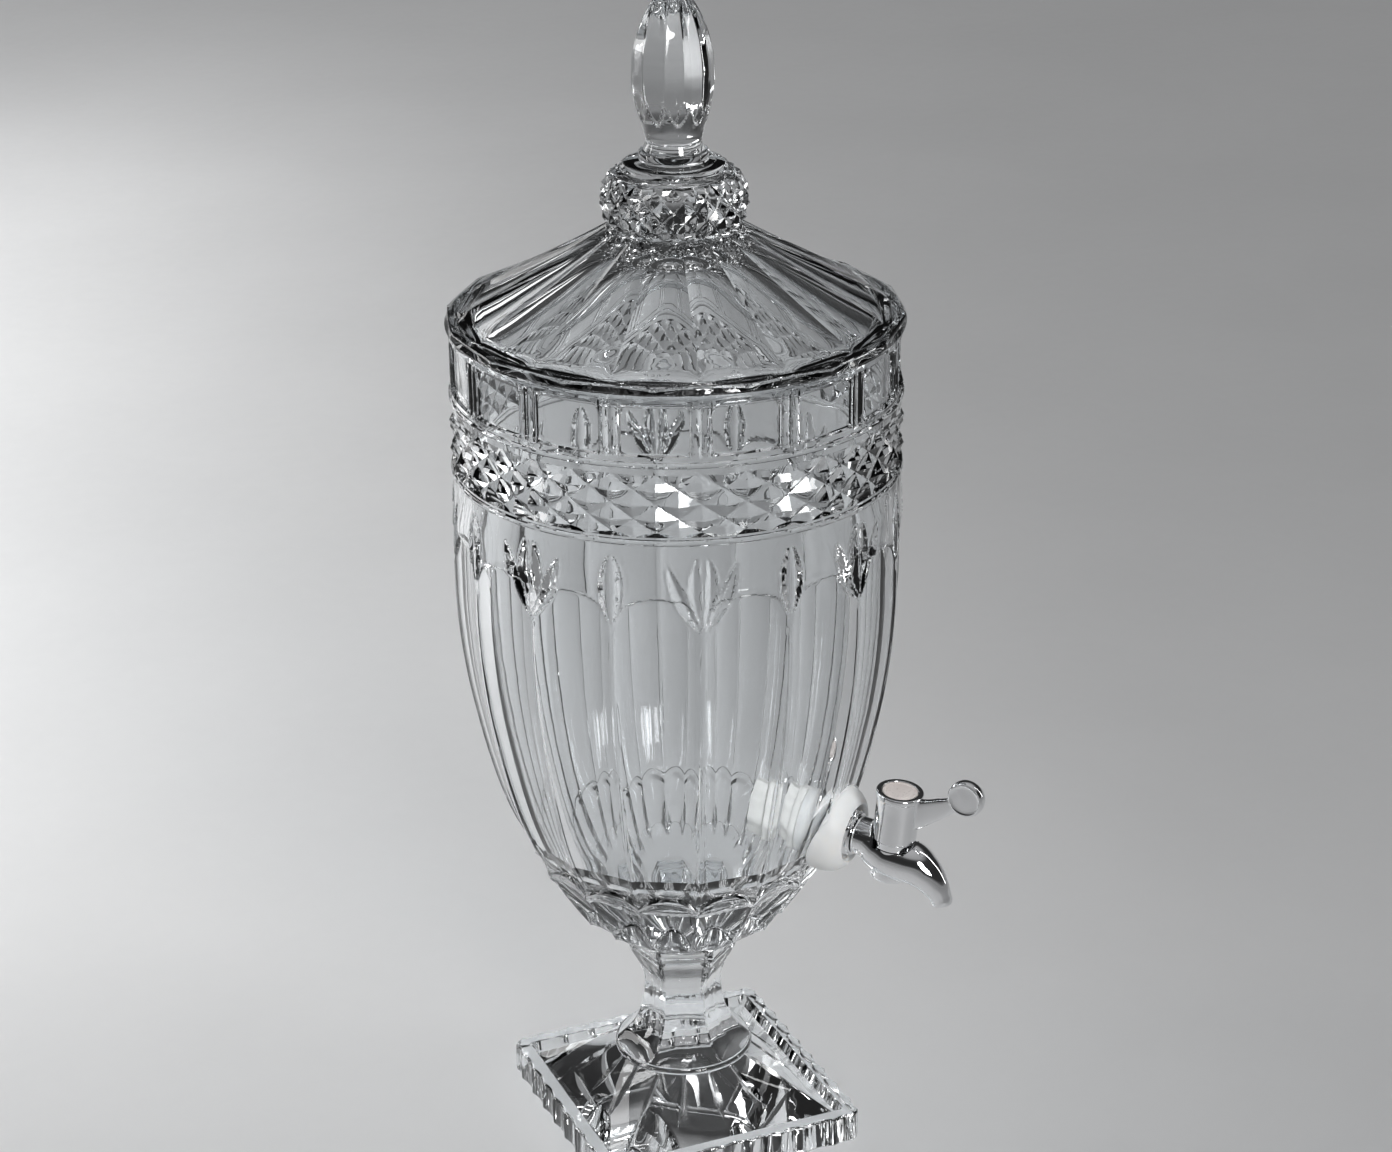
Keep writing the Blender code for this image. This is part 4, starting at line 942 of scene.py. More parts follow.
class Foot:
    """The pressed foot: scalloped square slab, tray with long cuts, ring, six-sided stem and collar."""

    STEM = (
        (39.0, 33.2, 1.0), (39.3, 32.8, 0.9), (41.2, 31.2, 0.25), (44.5, 27.6, 0.0), (49.0, 24.0, 0.0),
        (54.5, 21.5, 0.0), (61.0, 19.7, 0.0), (68.0, 19.0, 0.0), (73.0, 18.9, 0.0), (78.0, 20.2, 0.0),
        (83.0, 22.6, 0.0), (87.5, 25.2, 0.0), (90.3, 26.3, 0.0), (91.0, 26.2, 0.0), (91.6, 25.6, 0.0),
        (92.0, 25.8, 0.0), (92.6, 27.2, 0.0), (94.6, 28.0, 0.0), (95.2, 27.6, 0.0), (95.7, 28.4, 0.0),
        (97.2, 29.0, 0.0), (99.4, 29.0, 0.0), (100.0, 28.6, 0.0),
    )
    STEM_HEIGHTS = (
        39.3, 40.2, 41.2, 42.5, 44.0, 46.0, 48.0, 50.5, 53.0, 56.0, 59.0, 62.0, 65.0, 68.0, 70.5,
        73.0, 75.5, 78.0, 80.5, 83.0, 85.5, 87.5, 89.0, 90.3, 91.0, 91.6, 92.0, 92.6, 94.6, 95.2,
        95.7, 97.2, 99.4, 100.0,
    )
    WEDGE_WIDTH = SmoothCurve((
        (0.0, 0.5), (0.35, 0.85), (0.6, 1.0), (0.8, 0.7), (0.93, 0.28), (1.0, 0.06),
    ))
    WEDGE_SPREAD = (-1.0, -0.66, -0.33, 0.0, 0.33, 0.66, 1.0)
    TRAY_SHARES = np.concatenate([[0.0, 0.04], np.linspace(0.10, 0.985, 26)])
    CUT_SHARE = 0.9
    CUT_LOW = 6.0
    CUT_HIGH = 36.0
    ROUNDING_STEPS = 5
    RING_STEPS = 8

    def __init__(self, sizes: FootSizes) -> None:
        """Take up the sizes.

        Args:
            sizes: the foot's sizes.
        """
        self.sizes = sizes
        self.shares = np.arange(sizes.columns) / sizes.columns
        self.turns = sizes.turn + self.shares * FULL_TURN

    def _square(self, inset: float, height: float, scalloped: float) -> np.ndarray:
        """A ring of the slab.

        Args:
            inset: how far within the foot's side it lies.
            height: its height.
            scalloped: the share of the scallops' depth.

        Returns:
            The ring's points, the first one on a corner.
        """
        sizes = self.sizes
        half = sizes.half_side - inset
        corner = max(sizes.corner_round - inset, 2.0)
        side = np.floor(self.shares * 4)
        along_share = (self.shares * 4 - side) * 2 - 1
        sign = np.sign(along_share)
        straight = np.abs(along_share) * half
        past = np.clip((straight - (half - corner)) / corner, 0, 1) * pi / 4
        bent = straight > half - corner
        along = np.where(bent, half - corner + corner * np.sin(past), straight) * sign
        out = np.where(bent, half - corner * (1 - np.cos(past)), half)
        place = ((along_share + 1) / 2 * sizes.scallops) % 1
        scallop = sizes.scallop_depth * (1 - (2 * place - 1) ** 2)
        out = out - scallop * scalloped * (1 - smooth_step(past * 2))
        facing = sizes.turn + side * pi / 2 + pi / 4
        x = out * np.sin(facing) + along * np.cos(facing)
        y = -out * np.cos(facing) + along * np.sin(facing)
        return np.stack([x, y, np.full_like(x, height)], axis=-1)

    def _hexagon(self, corner_radius: float, height: float, roundness: float) -> np.ndarray:
        """A ring of the six-sided stem, its sides faintly hollow and its corners faintly blunt.

        Args:
            corner_radius: how far out its corners would lie if they were sharp.
            height: its height.
            roundness: 0 for flat sides, 1 for a circle.

        Returns:
            The ring's points.
        """
        flat, place = hexagon_shares(self.turns + FULL_TURN / 12)
        hollow = self.sizes.side_hollow * np.sin(np.clip(place, 0, 1) * pi)
        blunt = np.minimum(flat - hollow, self.sizes.blunt_corner)
        radii = corner_radius * (blunt + (1 - blunt) * roundness)
        return polar(self.turns, radii, height)

    def _wedge_place(self, turns: np.ndarray | float, reach: np.ndarray | float) -> np.ndarray:
        """How far along its wedge cut a place lies.

        Args:
            turns: the turns of the cuts' middles.
            reach: distances from the axis.

        Returns:
            Shares of the way from the ring (0) to the cut's tip (1).
        """
        sizes = self.sizes
        tip = sizes.wedge_reach + sizes.corner_wedge_gain * np.cos(4 * (turns - sizes.turn))
        return (reach - sizes.tray_foot) / (tip - sizes.tray_foot)

    def _tray_row(self, share: float) -> np.ndarray:
        """A ring of the tray, its points drawn together at the wedge cuts.

        Args:
            share: how far it lies from the tray's square edge (0) to its round foot (1).

        Returns:
            The ring's points.
        """
        sizes = self.sizes
        inset = sizes.border + sizes.tray_slope
        edge = self._square(inset, sizes.slab_height - sizes.tray_drop, 0.0)
        ring = polar(self.turns, sizes.tray_foot, sizes.ring_low)
        rows = edge + (ring - edge) * share
        points = rows.copy()
        per_wedge = sizes.columns // sizes.wedges
        spread = len(self.WEDGE_SPREAD) // 2
        gaps = per_wedge - 2 * spread
        middles = np.arange(sizes.wedges) * per_wedge
        reach = np.hypot(rows[middles, 0], rows[middles, 1])
        places = self._wedge_place(self.turns[middles], reach)
        widths = self.WEDGE_WIDTH(np.minimum(places, 1.0))
        half_turns = sizes.wedge_half_width * widths / reach
        for wedge, (middle, start) in enumerate(zip(middles, half_turns)):
            stop = FULL_TURN / sizes.wedges - half_turns[(wedge + 1) % sizes.wedges]
            depth = sizes.wedge_depth * widths[wedge] * (places[wedge] <= 1.0)
            for step in range(-spread, per_wedge - spread):
                if step <= spread:
                    shift = start * self.WEDGE_SPREAD[step + spread]
                    sink = depth * (1 - abs(self.WEDGE_SPREAD[step + spread]))
                else:
                    shift = start + (stop - start) * (step - spread) / gaps
                    sink = 0.0
                exact = (self.turns[middle] + shift - sizes.turn) / FULL_TURN * sizes.columns
                low = int(np.floor(exact))
                part = exact - low
                before = rows[low % sizes.columns]
                after = rows[(low + 1) % sizes.columns]
                column = (middle + step) % sizes.columns
                points[column] = before * (1 - part) + after * part
                points[column, 2] -= sink
        return points

    def _in_wedge(self, turns: np.ndarray, reach: np.ndarray, heights: np.ndarray) -> np.ndarray:
        """Which points lie in the tray's wedge cuts.

        Args:
            turns: the points' turns.
            reach: their distances from the axis.
            heights: their heights.

        Returns:
            1 for a point in a cut, and 0 for any other.
        """
        sizes = self.sizes
        step = FULL_TURN / sizes.wedges
        off = (turns - sizes.turn + step / 2) % step - step / 2
        place = self._wedge_place(turns - off, reach)
        width = self.WEDGE_WIDTH(np.clip(place, 0, 1))
        half_turn = sizes.wedge_half_width * width / np.maximum(reach, 1)
        inside = (np.abs(off) < half_turn * self.CUT_SHARE) & (place > 0) & (place < 1)
        return (inside & (heights > self.CUT_LOW) & (heights < self.CUT_HIGH)).astype(float)

    def build(self, bench: Bench) -> bpy.types.Object:
        """Make the foot.

        Args:
            bench: the shared finishes and trees.

        Returns:
            The finished piece.
        """
        sizes = self.sizes
        skin = Skin()
        skin.pole(0)
        skin.add(self._square(sizes.edge_round + 3, 0, 0.0))
        turns = [pi / 2 * step / self.ROUNDING_STEPS for step in range(self.ROUNDING_STEPS + 1)]
        for turn in turns:
            inset = sizes.edge_round * (1 - sin(turn))
            skin.add(self._square(inset, sizes.edge_round * (1 - cos(turn)), 1.0))
        for turn in turns:
            inset = sizes.edge_round * (1 - cos(turn))
            height = sizes.slab_height - sizes.edge_round * (1 - sin(turn))
            skin.add(self._square(inset, height, 1.0))
        skin.add(self._square(sizes.edge_round + 0.8, sizes.slab_height, 0.5))
        skin.add(self._square(sizes.border - 0.4, sizes.slab_height, 0.0))
        skin.add(self._square(sizes.border, sizes.slab_height - 0.2, 0.0))
        for share in self.TRAY_SHARES:
            skin.add(self._tray_row(float(share)))
        middle = (sizes.ring_low + sizes.ring_high) / 2
        half = (sizes.ring_high - sizes.ring_low) / 2
        for step in range(self.RING_STEPS + 1):
            turn = -pi / 2 + pi * step / self.RING_STEPS
            radius = sizes.ring_radius - half * (1 - cos(turn))
            skin.add(polar(self.turns, radius, middle + half * sin(turn)))
        outline = SmoothCurve([(height, radius) for height, radius, _ in self.STEM])
        roundness = SmoothCurve([(height, share) for height, _, share in self.STEM])
        for height in self.STEM_HEIGHTS:
            skin.add(self._hexagon(float(outline(height)), height, float(roundness(height))))
        skin.pole(self.STEM_HEIGHTS[-1])
        foot = new_object("pressed_foot", skin.mesh("pressed_foot"))
        weld(foot.data)
        mark_cuts(foot.data, self._in_wedge)
        return bench.hand_over(foot, Slot.CRYSTAL, Body.DISPENSER, even_limit(16), "glass_foot")


# Bowl


def motif_columns(shares: Sequence[float], motifs: int) -> tuple[np.ndarray, np.ndarray, np.ndarray]:
    """Columns of a row of flutes, from one flute's middle to the last one's.

    Args:
        shares: places from a flute's middle (0) to its rib (1).
        motifs: how many flutes there are.

    Returns:
        The turns, the shares and the number of the rib nearest each column.
    """
    half = FLUTE_TURN / 2
    columns = []
    for motif in range(motifs):
        start = motif * FLUTE_TURN
        end = start + FLUTE_TURN
        columns += [(start + half * share, share, motif) for share in shares]
        columns += [(end - half * share, share, motif) for share in shares[-2:0:-1]]
    columns.append((motifs * FLUTE_TURN, 0.0, motifs - 1))
    turns, towards, ribs = zip(*columns)
    return np.array(turns), np.array(towards), np.array(ribs)


@dataclass(frozen=True)
class Leaf:
    """A pressed leaf: a pointed oval between two ends, cut to a crease, its spine bowed sideways."""

    foot: tuple[float, float]
    tip: tuple[float, float]
    bow: float
    half_width: float
    depth: float
    inner: float = 0.0

    BLUNTNESS = 0.75
    SWELL = 0.25
    RIM = 0.55
    RIM_WIDTH = 0.5

    def relief(self, across: np.ndarray, height: np.ndarray | float) -> tuple[np.ndarray, np.ndarray]:
        """The leaf's depth below the surface and its raised rim.

        Args:
            across: distances from the rib.
            height: heights.

        Returns:
            The depth, zero outside the leaf, and the rim's height.
        """
        run = self.tip[0] - self.foot[0]
        rise = self.tip[1] - self.foot[1]
        length = (run * run + rise * rise) ** 0.5
        along = ((across - self.foot[0]) * run + (height - self.foot[1]) * rise) / length
        aside = ((across - self.foot[0]) * rise - (height - self.foot[1]) * run) / length
        share = np.clip(along / length, 0, 1)
        spine = self.bow * 4 * share * (1 - share)
        width = np.sin(share * pi) ** self.BLUNTNESS * self.half_width
        safe = np.maximum(width, 0.01)
        place = np.abs(aside - spine) / safe
        full = width / self.half_width
        if self.inner > 0:
            middle = (1 + self.inner) / 2
            trough = 1 - np.abs(place - middle) / (1 - middle)
            swell = -self.SWELL * (1 - (place / self.inner) ** 2)
            cut = np.where(place < self.inner, swell, np.maximum(trough, 0)) * self.depth
        else:
            cut = (1 - place) * self.depth
        beside = (along > 0) & (along < length)
        cut = np.where((place < 1) & beside, cut * full, 0.0)
        edge = (np.abs(aside - spine) - width) / self.RIM_WIDTH
        rim = self.RIM * np.exp(-edge * edge) * np.clip(full * 2, 0, 1)
        return cut, np.where(beside, rim, 0.0)


@dataclass(frozen=True)
class BowlSizes:
    """Sizes of the bowl."""

    seat: float = 100.3
    waist_radius: float = 69.8
    plain_radius: float = 102.0
    crest_radius: float = 103.0
    body_low: float = 150.6
    body_high: float = 344.0
    flute_start: float = 148.0
    flute_ease: float = 7.0
    flute_power: float = 2.6
    flute_depth: float = 2.3
    rib_half_width: float = 1.5
    rib_proud: float = 0.4
    rib_end: float = 301.0
    rib_ease: float = 3.0
    arch_low: float = 304.0
    arch_rise: float = 14.0
    arch_fade: float = 1.8
    lower_bead: float = 344.0
    diamonds_low: float = 347.4
    diamond_row: float = 6.7
    diamond_depth: float = 3.0
    diamond_foot: float = 0.9
    upper_bead: float = 379.4
    bead_half: float = 1.45
    bead_foot: float = 0.35
    pillar_depth: float = 2.0
    pillar_place: float = 2.3
    pillar_half_width: float = 2.1
    pillar_reach: float = 4.6
    panel_half_width: float = 15.4
    panel_low: float = 383.4
    panel_high: float = 407.2
    panel_top_corner: float = 6.0
    panel_low_corner: float = 2.2
    rim: float = 410.7
    mouth_radius: float = 96.0
    hollow_low: float = 138.0
    hollow_turn: float = 165.1
    wall: float = 7.0
    hole_radius: float = 8.4


class Bowl:
    """The pressed bowl: seat, waist, flutes, leaves, diamond band, pillars, rim and hollow."""

    BASE = (
        (100.3, 29.2, 0.0, 0.0), (104.0, 34.5, 0.0, 0.0), (108.0, 39.6, 0.0, 0.4),
        (112.5, 44.0, 0.2, 1.2), (117.0, 47.8, 0.5, 3.2), (119.6, 50.1, 0.9, 4.9),
        (120.6, 50.4, 1.6, 4.9), (127.0, 55.8, 2.0, 3.6), (135.0, 61.4, 1.9, 3.0),
        (142.5, 66.2, 1.6, 2.8), (145.2, 67.9, 1.3, 2.7), (146.4, 69.5, 0.8, 2.6),
        (147.8, 70.6, 0.5, 2.6), (149.2, 70.8, 0.7, 2.6), (150.4, 70.3, 1.4, 2.4),
        (152.0, 71.0, 1.8, 1.4),
    )
    BODY = (
        (0.0075, 0.045), (0.075, 0.265), (0.155, 0.448), (0.255, 0.615), (0.365, 0.761),
        (0.480, 0.885), (0.600, 0.966), (0.715, 1.0), (0.790, 1.0), (1.0, 0.97),
    )
    BODY_HEIGHTS = np.concatenate([[155.5], np.arange(159.5, 297.0, 4.0)])
    FLUTE_SHARES = (
        0.0, 0.14, 0.28, 0.42, 0.55, 0.67, 0.77, 0.85, 0.905, 0.925, 0.945, 0.97, 1.0,
    )
    LAND = 0.93
    MOTIFS = 2
    RELIEF_LOW = 298.0
    RELIEF_HIGH = 342.2
    RELIEF_ROWS = 48
    RELIEF_COLUMNS = 28
    SINGLE = (Leaf((0.0, 304.5), (0.0, 338.5), 0.0, 5.6, 2.6, 0.42),)
    SPRIG = (
        Leaf((0.6, 301.5), (15.2, 333.0), 1.6, 3.3, 3.0),
        Leaf((0.5, 303.5), (2.3, 337.5), 2.4, 2.9, 3.0),
        Leaf((-0.6, 301.5), (-15.2, 333.0), -1.6, 3.3, 3.0),
        Leaf((-0.5, 303.5), (-2.3, 337.5), -2.4, 2.9, 3.0),
    )
    LEAF_REACH = 98.0
    LEAF_FLOOR = 4.5
    LEAF_SATIN = 0.1
    SATIN_DEPTH = 0.3
    BEAD_COLUMNS = 32
    BEAD_STEPS = 6
    DIAMONDS = 4
    DIAMOND_ROWS = 4
    INSIDE_COLUMNS = 24
    VALLEY_DEPTH = 0.62
    PANEL_EDGE = 0.7
    PANEL_SHIFT = 0.3
    PILLAR_OVERHANG = 0.6
    KNOT = 0.25
    KNOT_PLACE = 1.5
    KNOT_WIDTH = 0.7
    TAPER = 0.2
    TAPER_HEIGHT = 9.0
    PILLAR_COLUMNS = (0.0, 0.3, 0.7, 1.3, 2.3, 3.3, 3.9, 4.3, 4.6, 5.1, 6.0, 8.0, 11.0, 15.0)
    PILLAR_ROWS = (
        381.9, 382.6, 383.2, 383.7, 384.2, 385.0, 386.5, 389.0, 392.0, 395.0, 398.0, 401.0,
        403.0, 404.4, 405.5, 406.3, 407.0, 407.6, 408.3,
    )
    RIM = (
        (102.0, -1.4), (101.9, -0.8), (101.5, -0.3), (100.8, 0.0), (97.2, 0.0), (96.4, -0.3),
        (96.0, -1.0),
    )
    MOUTH_HEIGHTS = (404.0, 396.5, 395.0, 393.0, 390.0, 387.0)
    FLOOR = ((0.0, 138.0), (16.0, 138.1), (30.1, 138.8), (48.7, 142.6), (61.6, 152.1))

    def __init__(self, sizes: BowlSizes) -> None:
        """Take up the sizes.

        Args:
            sizes: the bowl's sizes.
        """
        self.sizes = sizes
        tall = sizes.body_high - sizes.body_low
        gain = sizes.crest_radius - sizes.waist_radius
        self.body = SmoothCurve([
            (sizes.body_low + tall * height, sizes.waist_radius + gain * radius)
            for height, radius in self.BODY
        ])

    def _base_rows(self, skin: Skin) -> None:
        """Add the seat and the base, whose rows sway up and down between the ribs.

        Args:
            skin: the sector's skin.
        """
        turns, towards, _ = motif_columns(self.FLUTE_SHARES, self.MOTIFS)
        hollow = np.clip(1 - (towards / self.LAND) ** 2, 0, 1)
        for height, radius, depth, sway in self.BASE:
            lift = sway * (1 - 2 * towards ** 2)
            skin.add(polar(turns, radius - depth * hollow, height + lift), turns)

    def _body_rows(self, skin: Skin) -> None:
        """Add the fluted body.

        Args:
            skin: the sector's skin.
        """
        turns, towards, _ = motif_columns(self.FLUTE_SHARES, self.MOTIFS)
        for height in self.BODY_HEIGHTS:
            skin.add(polar(turns, self.fluted_radius(towards, height), height), turns)

    def fluted_radius(self, towards: np.ndarray | float, height: float) -> np.ndarray:
        """The fluted body's radius.

        Args:
            towards: shares of the way from a flute's middle to a rib.
            height: the height.

        Returns:
            The radius at each share.
        """
        sizes = self.sizes
        radius = float(self.body(height))
        hollow = self._flute(towards) * sizes.flute_depth - self._rib(towards, radius)
        return radius - hollow * smooth_step((height - sizes.flute_start) / sizes.flute_ease)

    def _flute(self, towards: np.ndarray | float) -> np.ndarray:
        """A flute's hollow, as a share of its depth, at shares of the way to a rib."""
        return np.clip(1 - (towards / self.LAND) ** self.sizes.flute_power, 0, 1)

    def _rib(self, towards: np.ndarray | float, radius: float) -> np.ndarray:
        """How far the rounded crest of a rib stands proud, at shares of the way to it."""
        off = (1 - towards) * FLUTE_TURN / 2 * radius / self.sizes.rib_half_width
        return self.sizes.rib_proud * np.sqrt(np.clip(1 - off * off, 0, 1))

    def _relief_rows(self, skin: Skin) -> None:
        """Add the arched tops of the flutes with the leaves over them.

        Args:
            skin: the sector's skin.
        """
        sizes = self.sizes
        shares = [step / self.RELIEF_COLUMNS for step in range(self.RELIEF_COLUMNS + 1)]
        turns, towards, ribs = motif_columns(shares, self.MOTIFS)
        arc = self._flute(towards)
        arch = sizes.arch_low + sizes.arch_rise * np.sqrt(arc)
        rib_turns = (ribs + 0.5) * FLUTE_TURN
        for step in range(self.RELIEF_ROWS + 1):
            rise = (self.RELIEF_HIGH - self.RELIEF_LOW) * step / self.RELIEF_ROWS
            height = self.RELIEF_LOW + rise
            radius = float(self.body(height))
            depth = sizes.flute_depth * arc * smooth_step((arch - height) / sizes.arch_fade)
            crest = smooth_step((sizes.rib_end - height) / sizes.rib_ease)
            depth = depth - self._rib(towards, radius) * crest
            across = (turns - rib_turns) * radius
            cut = np.zeros_like(turns)
            rim = np.zeros_like(turns)
            for rib, leaves in ((0, self.SINGLE), (1, self.SPRIG)):
                near = ribs == rib
                for leaf in leaves:
                    leaf_cut, leaf_rim = leaf.relief(across, height)
                    cut = np.where(near & (np.abs(leaf_cut) > np.abs(cut)), leaf_cut, cut)
                    rim = np.where(near, np.maximum(rim, leaf_rim), rim)
            offset = np.where(cut != 0, rim * 0.3 - cut, rim)
            skin.add(polar(turns, radius - depth + offset, height), turns)

    def _bead(self, skin: Skin, height: float) -> None:
        """Add a half-round bead.

        Args:
            skin: the sector's skin.
            height: the height of the bead's middle.
        """
        sizes = self.sizes
        turns = np.linspace(0, self.MOTIFS * FLUTE_TURN, self.BEAD_COLUMNS + 1)
        proud = sizes.crest_radius - sizes.plain_radius
        foot = sizes.bead_half + sizes.bead_foot
        skin.add(polar(turns, sizes.plain_radius, height - foot), turns)
        for step in range(self.BEAD_STEPS + 1):
            turn = -pi / 2 + pi * step / self.BEAD_STEPS
            radius = sizes.plain_radius + proud * cos(turn)
            skin.add(polar(turns, radius, height + sizes.bead_half * sin(turn)), turns)
        skin.add(polar(turns, sizes.plain_radius, height + foot), turns)

    def _diamond_rows(self, skin: Skin) -> None:
        """Add the band of staggered diamonds.

        Args:
            skin: the sector's skin.
        """
        sizes = self.sizes
        along = np.array(cell_places(self.MOTIFS * self.DIAMONDS))
        turns = along * FLUTE_TURN / self.DIAMONDS
        proud = sizes.crest_radius - sizes.plain_radius
        high = sizes.diamonds_low + sizes.diamond_row * self.DIAMOND_ROWS
        skin.add(polar(turns, sizes.plain_radius, sizes.diamonds_low - sizes.diamond_foot), turns)
        for row in cell_places(self.DIAMOND_ROWS):
            crest = sizes.plain_radius + proud * min(row * 2, (self.DIAMOND_ROWS - row) * 2, 1.0)
            radii = crest - sizes.diamond_depth * (1 - pyramid_peaks(along, row))
            skin.add(polar(turns, radii, sizes.diamonds_low + sizes.diamond_row * row), turns)
        skin.add(polar(turns, sizes.plain_radius, high + sizes.diamond_foot), turns)

    def _pillar_rows(self, skin: Skin) -> None:
        """Add the band of panels between pairs of pillars.

        Args:
            skin: the sector's skin.
        """
        sizes = self.sizes
        half = FLUTE_TURN / 2 * sizes.plain_radius
        shares = [0.0] + [1 - spot / half for spot in reversed(self.PILLAR_COLUMNS)]
        turns, towards, _ = motif_columns(shares, self.MOTIFS)
        from_rib = (1 - towards) * half
        in_pillar = from_rib < sizes.pillar_reach
        pillar = (from_rib - sizes.pillar_place) / sizes.pillar_half_width
        bulge = np.sqrt(np.clip(1 - pillar * pillar, 0, 1))
        valley = np.where(from_rib < 0.5, self.VALLEY_DEPTH, 1.0)
        middle = (sizes.panel_low + sizes.panel_high) / 2
        tall = (sizes.panel_high - sizes.panel_low) / 2
        for height in self.PILLAR_ROWS:
            off = abs(height - middle)
            corner = sizes.panel_top_corner if height > middle else sizes.panel_low_corner
            side = towards * half - (sizes.panel_half_width - corner)
            up = off - (tall - corner)
            outside = (np.hypot(np.maximum(side, 0), max(up, 0.0))
                       + np.minimum(np.maximum(side, up), 0) - corner)
            panel = smooth_step(-outside / self.PANEL_EDGE + self.PANEL_SHIFT)
            ends = smooth_step(tall + self.PILLAR_OVERHANG - off)
            knot = self.KNOT * np.exp(-(((off - tall + self.KNOT_PLACE) / self.KNOT_WIDTH) ** 2))
            groove = ((1 - bulge) * valley * ends - knot * bulge) * in_pillar
            drop = sizes.pillar_depth * np.maximum(panel * ~in_pillar, groove)
            skin.add(polar(turns, sizes.plain_radius - drop, height), turns)

    def _inside_rows(self, skin: Skin) -> None:
        """Add the rim and the hollow down to its pole.

        Args:
            skin: the sector's skin.
        """
        sizes = self.sizes
        turns = np.linspace(0, self.MOTIFS * FLUTE_TURN, self.INSIDE_COLUMNS + 1)
        for radius, height in self.RIM:
            skin.add(polar(turns, radius, sizes.rim + height), turns)
        taper_from = self.MOUTH_HEIGHTS[-1] + self.TAPER_HEIGHT
        for height in self.MOUTH_HEIGHTS:
            share = smooth_step((taper_from - height) / self.TAPER_HEIGHT)
            skin.add(polar(turns, sizes.mouth_radius - self.TAPER * share, height), turns)
        low_radius = float(self.body(sizes.hollow_turn)) - sizes.wall
        wall = SmoothCurve([(sizes.hollow_turn, low_radius)] + [
            (height, float(self.body(height)) - sizes.wall) for height in range(175, 344, 10)
        ] + [(self.MOUTH_HEIGHTS[-1], sizes.mouth_radius - self.TAPER)])
        for height in np.linspace(383, sizes.hollow_turn, 46):
            skin.add(polar(turns, float(wall(height)), height), turns)
        bottom = SmoothCurve(list(self.FLOOR) + [(low_radius, sizes.hollow_turn)])
        for share in np.linspace(1, 0.06, 22)[1:]:
            radius = low_radius * share
            skin.add(polar(turns, radius, float(bottom(radius))), turns)
        skin.pole(sizes.hollow_low)

    def _in_leaf(self, turns: np.ndarray, reach: np.ndarray, heights: np.ndarray) -> np.ndarray:
        """How satin the points in the leaves are.

        Args:
            turns: the points' turns.
            reach: their distances from the axis.
            heights: their heights.

        Returns:
            A share for each point, 0 outside the leaves.
        """
        turns = turns % (self.MOTIFS * FLUTE_TURN)
        ribs = (turns >= FLUTE_TURN).astype(int)
        across = (turns - (ribs + 0.5) * FLUTE_TURN) * reach
        cut = np.zeros_like(turns)
        for rib, leaves in ((0, self.SINGLE), (1, self.SPRIG)):
            for leaf in leaves:
                here, _ = leaf.relief(across, heights)
                cut = np.where(ribs == rib, np.maximum(cut, np.abs(here)), cut)
        outside = reach > self.body(heights) - self.LEAF_FLOOR
        within = (heights > self.RELIEF_LOW) & (heights < self.RELIEF_HIGH)
        return self.LEAF_SATIN * np.clip(cut / self.SATIN_DEPTH, 0, 1) * outside * within

    def _edge_limits(self, centres: np.ndarray) -> np.ndarray:
        """Softer edges on the leaves than elsewhere.

        Args:
            centres: the faces' centres, in millimetres.

        Returns:
            The angle past which each face's edges are sharp, in radians.
        """
        leaves = (centres[:, 2] > self.RELIEF_LOW) & (centres[:, 2] < self.RELIEF_HIGH)
        outside = np.hypot(centres[:, 0], centres[:, 1]) > self.LEAF_REACH
        return np.where(leaves & outside, radians(32), radians(10))

    def build(self, bench: Bench, tap: Matrix) -> bpy.types.Object:
        """Make the bowl.

        Args:
            bench: the shared finishes and trees.
            tap: the place of the tap's root, its shank along Z.

        Returns:
            The finished piece.
        """
        sizes = self.sizes
        skin = Skin(closed=False)
        skin.pole(sizes.seat)
        self._base_rows(skin)
        self._body_rows(skin)
        self._relief_rows(skin)
        self._bead(skin, sizes.lower_bead)
        self._diamond_rows(skin)
        self._bead(skin, sizes.upper_bead)
        self._pillar_rows(skin)
        self._inside_rows(skin)
        bowl = new_object("pressed_bowl", skin.mesh("pressed_bowl_sector"))
        bench.repeat(bowl, round(FULL_TURN / FLUTE_TURN / self.MOTIFS), Slot.CRYSTAL)
        join(bowl, [turned("tap_hole", cylinder(sizes.hole_radius, -30, 20), 64, tap)], "DIFFERENCE")
        weld(bowl.data)
        mark_cuts(bowl.data, self._in_leaf)
        return bench.hand_over(bowl, Slot.CRYSTAL, Body.DISPENSER, self._edge_limits, "glass_bowl")


# Lid


@dataclass(frozen=True)
class LidSizes:
    """Sizes of the lid."""

    base: float = 411.0
    rim_low: float = 403.0
    rim_inner: float = 90.0
    rim_outer: float = 95.0
    flange_radius: float = 103.5
    flange_top: float = 415.2
    flange_flat: float = 1.5
    flute_start: float = 97.0
    flute_end: float = 21.5
    flute_low: float = 416.4
    flute_rise: float = 50.0
    flute_depth: float = 2.4
    cusp: float = 2.3
    cusp_share: float = 0.05
    ridge: float = 0.9
    bulb_foot: float = 454.4
    bulb_foot_radius: float = 29.6
    bulb_low: float = 454.9
    bulb_top: float = 479.0
    bulb_radius: float = 33.4
    bulb_edge: float = 28.6
    bulb_power: float = 0.6
    bulb_depth: float = 1.8
    bud_low: float = 495.0
    bud_height: float = 69.0
    bud_radius: float = 18.4
    bud_flute_depth: float = 0.9
    bud_flute_power: float = 0.8
    bud_arch_low: float = 0.105
    bud_arch_rise: float = 0.14
    bud_arch_fade: float = 0.025


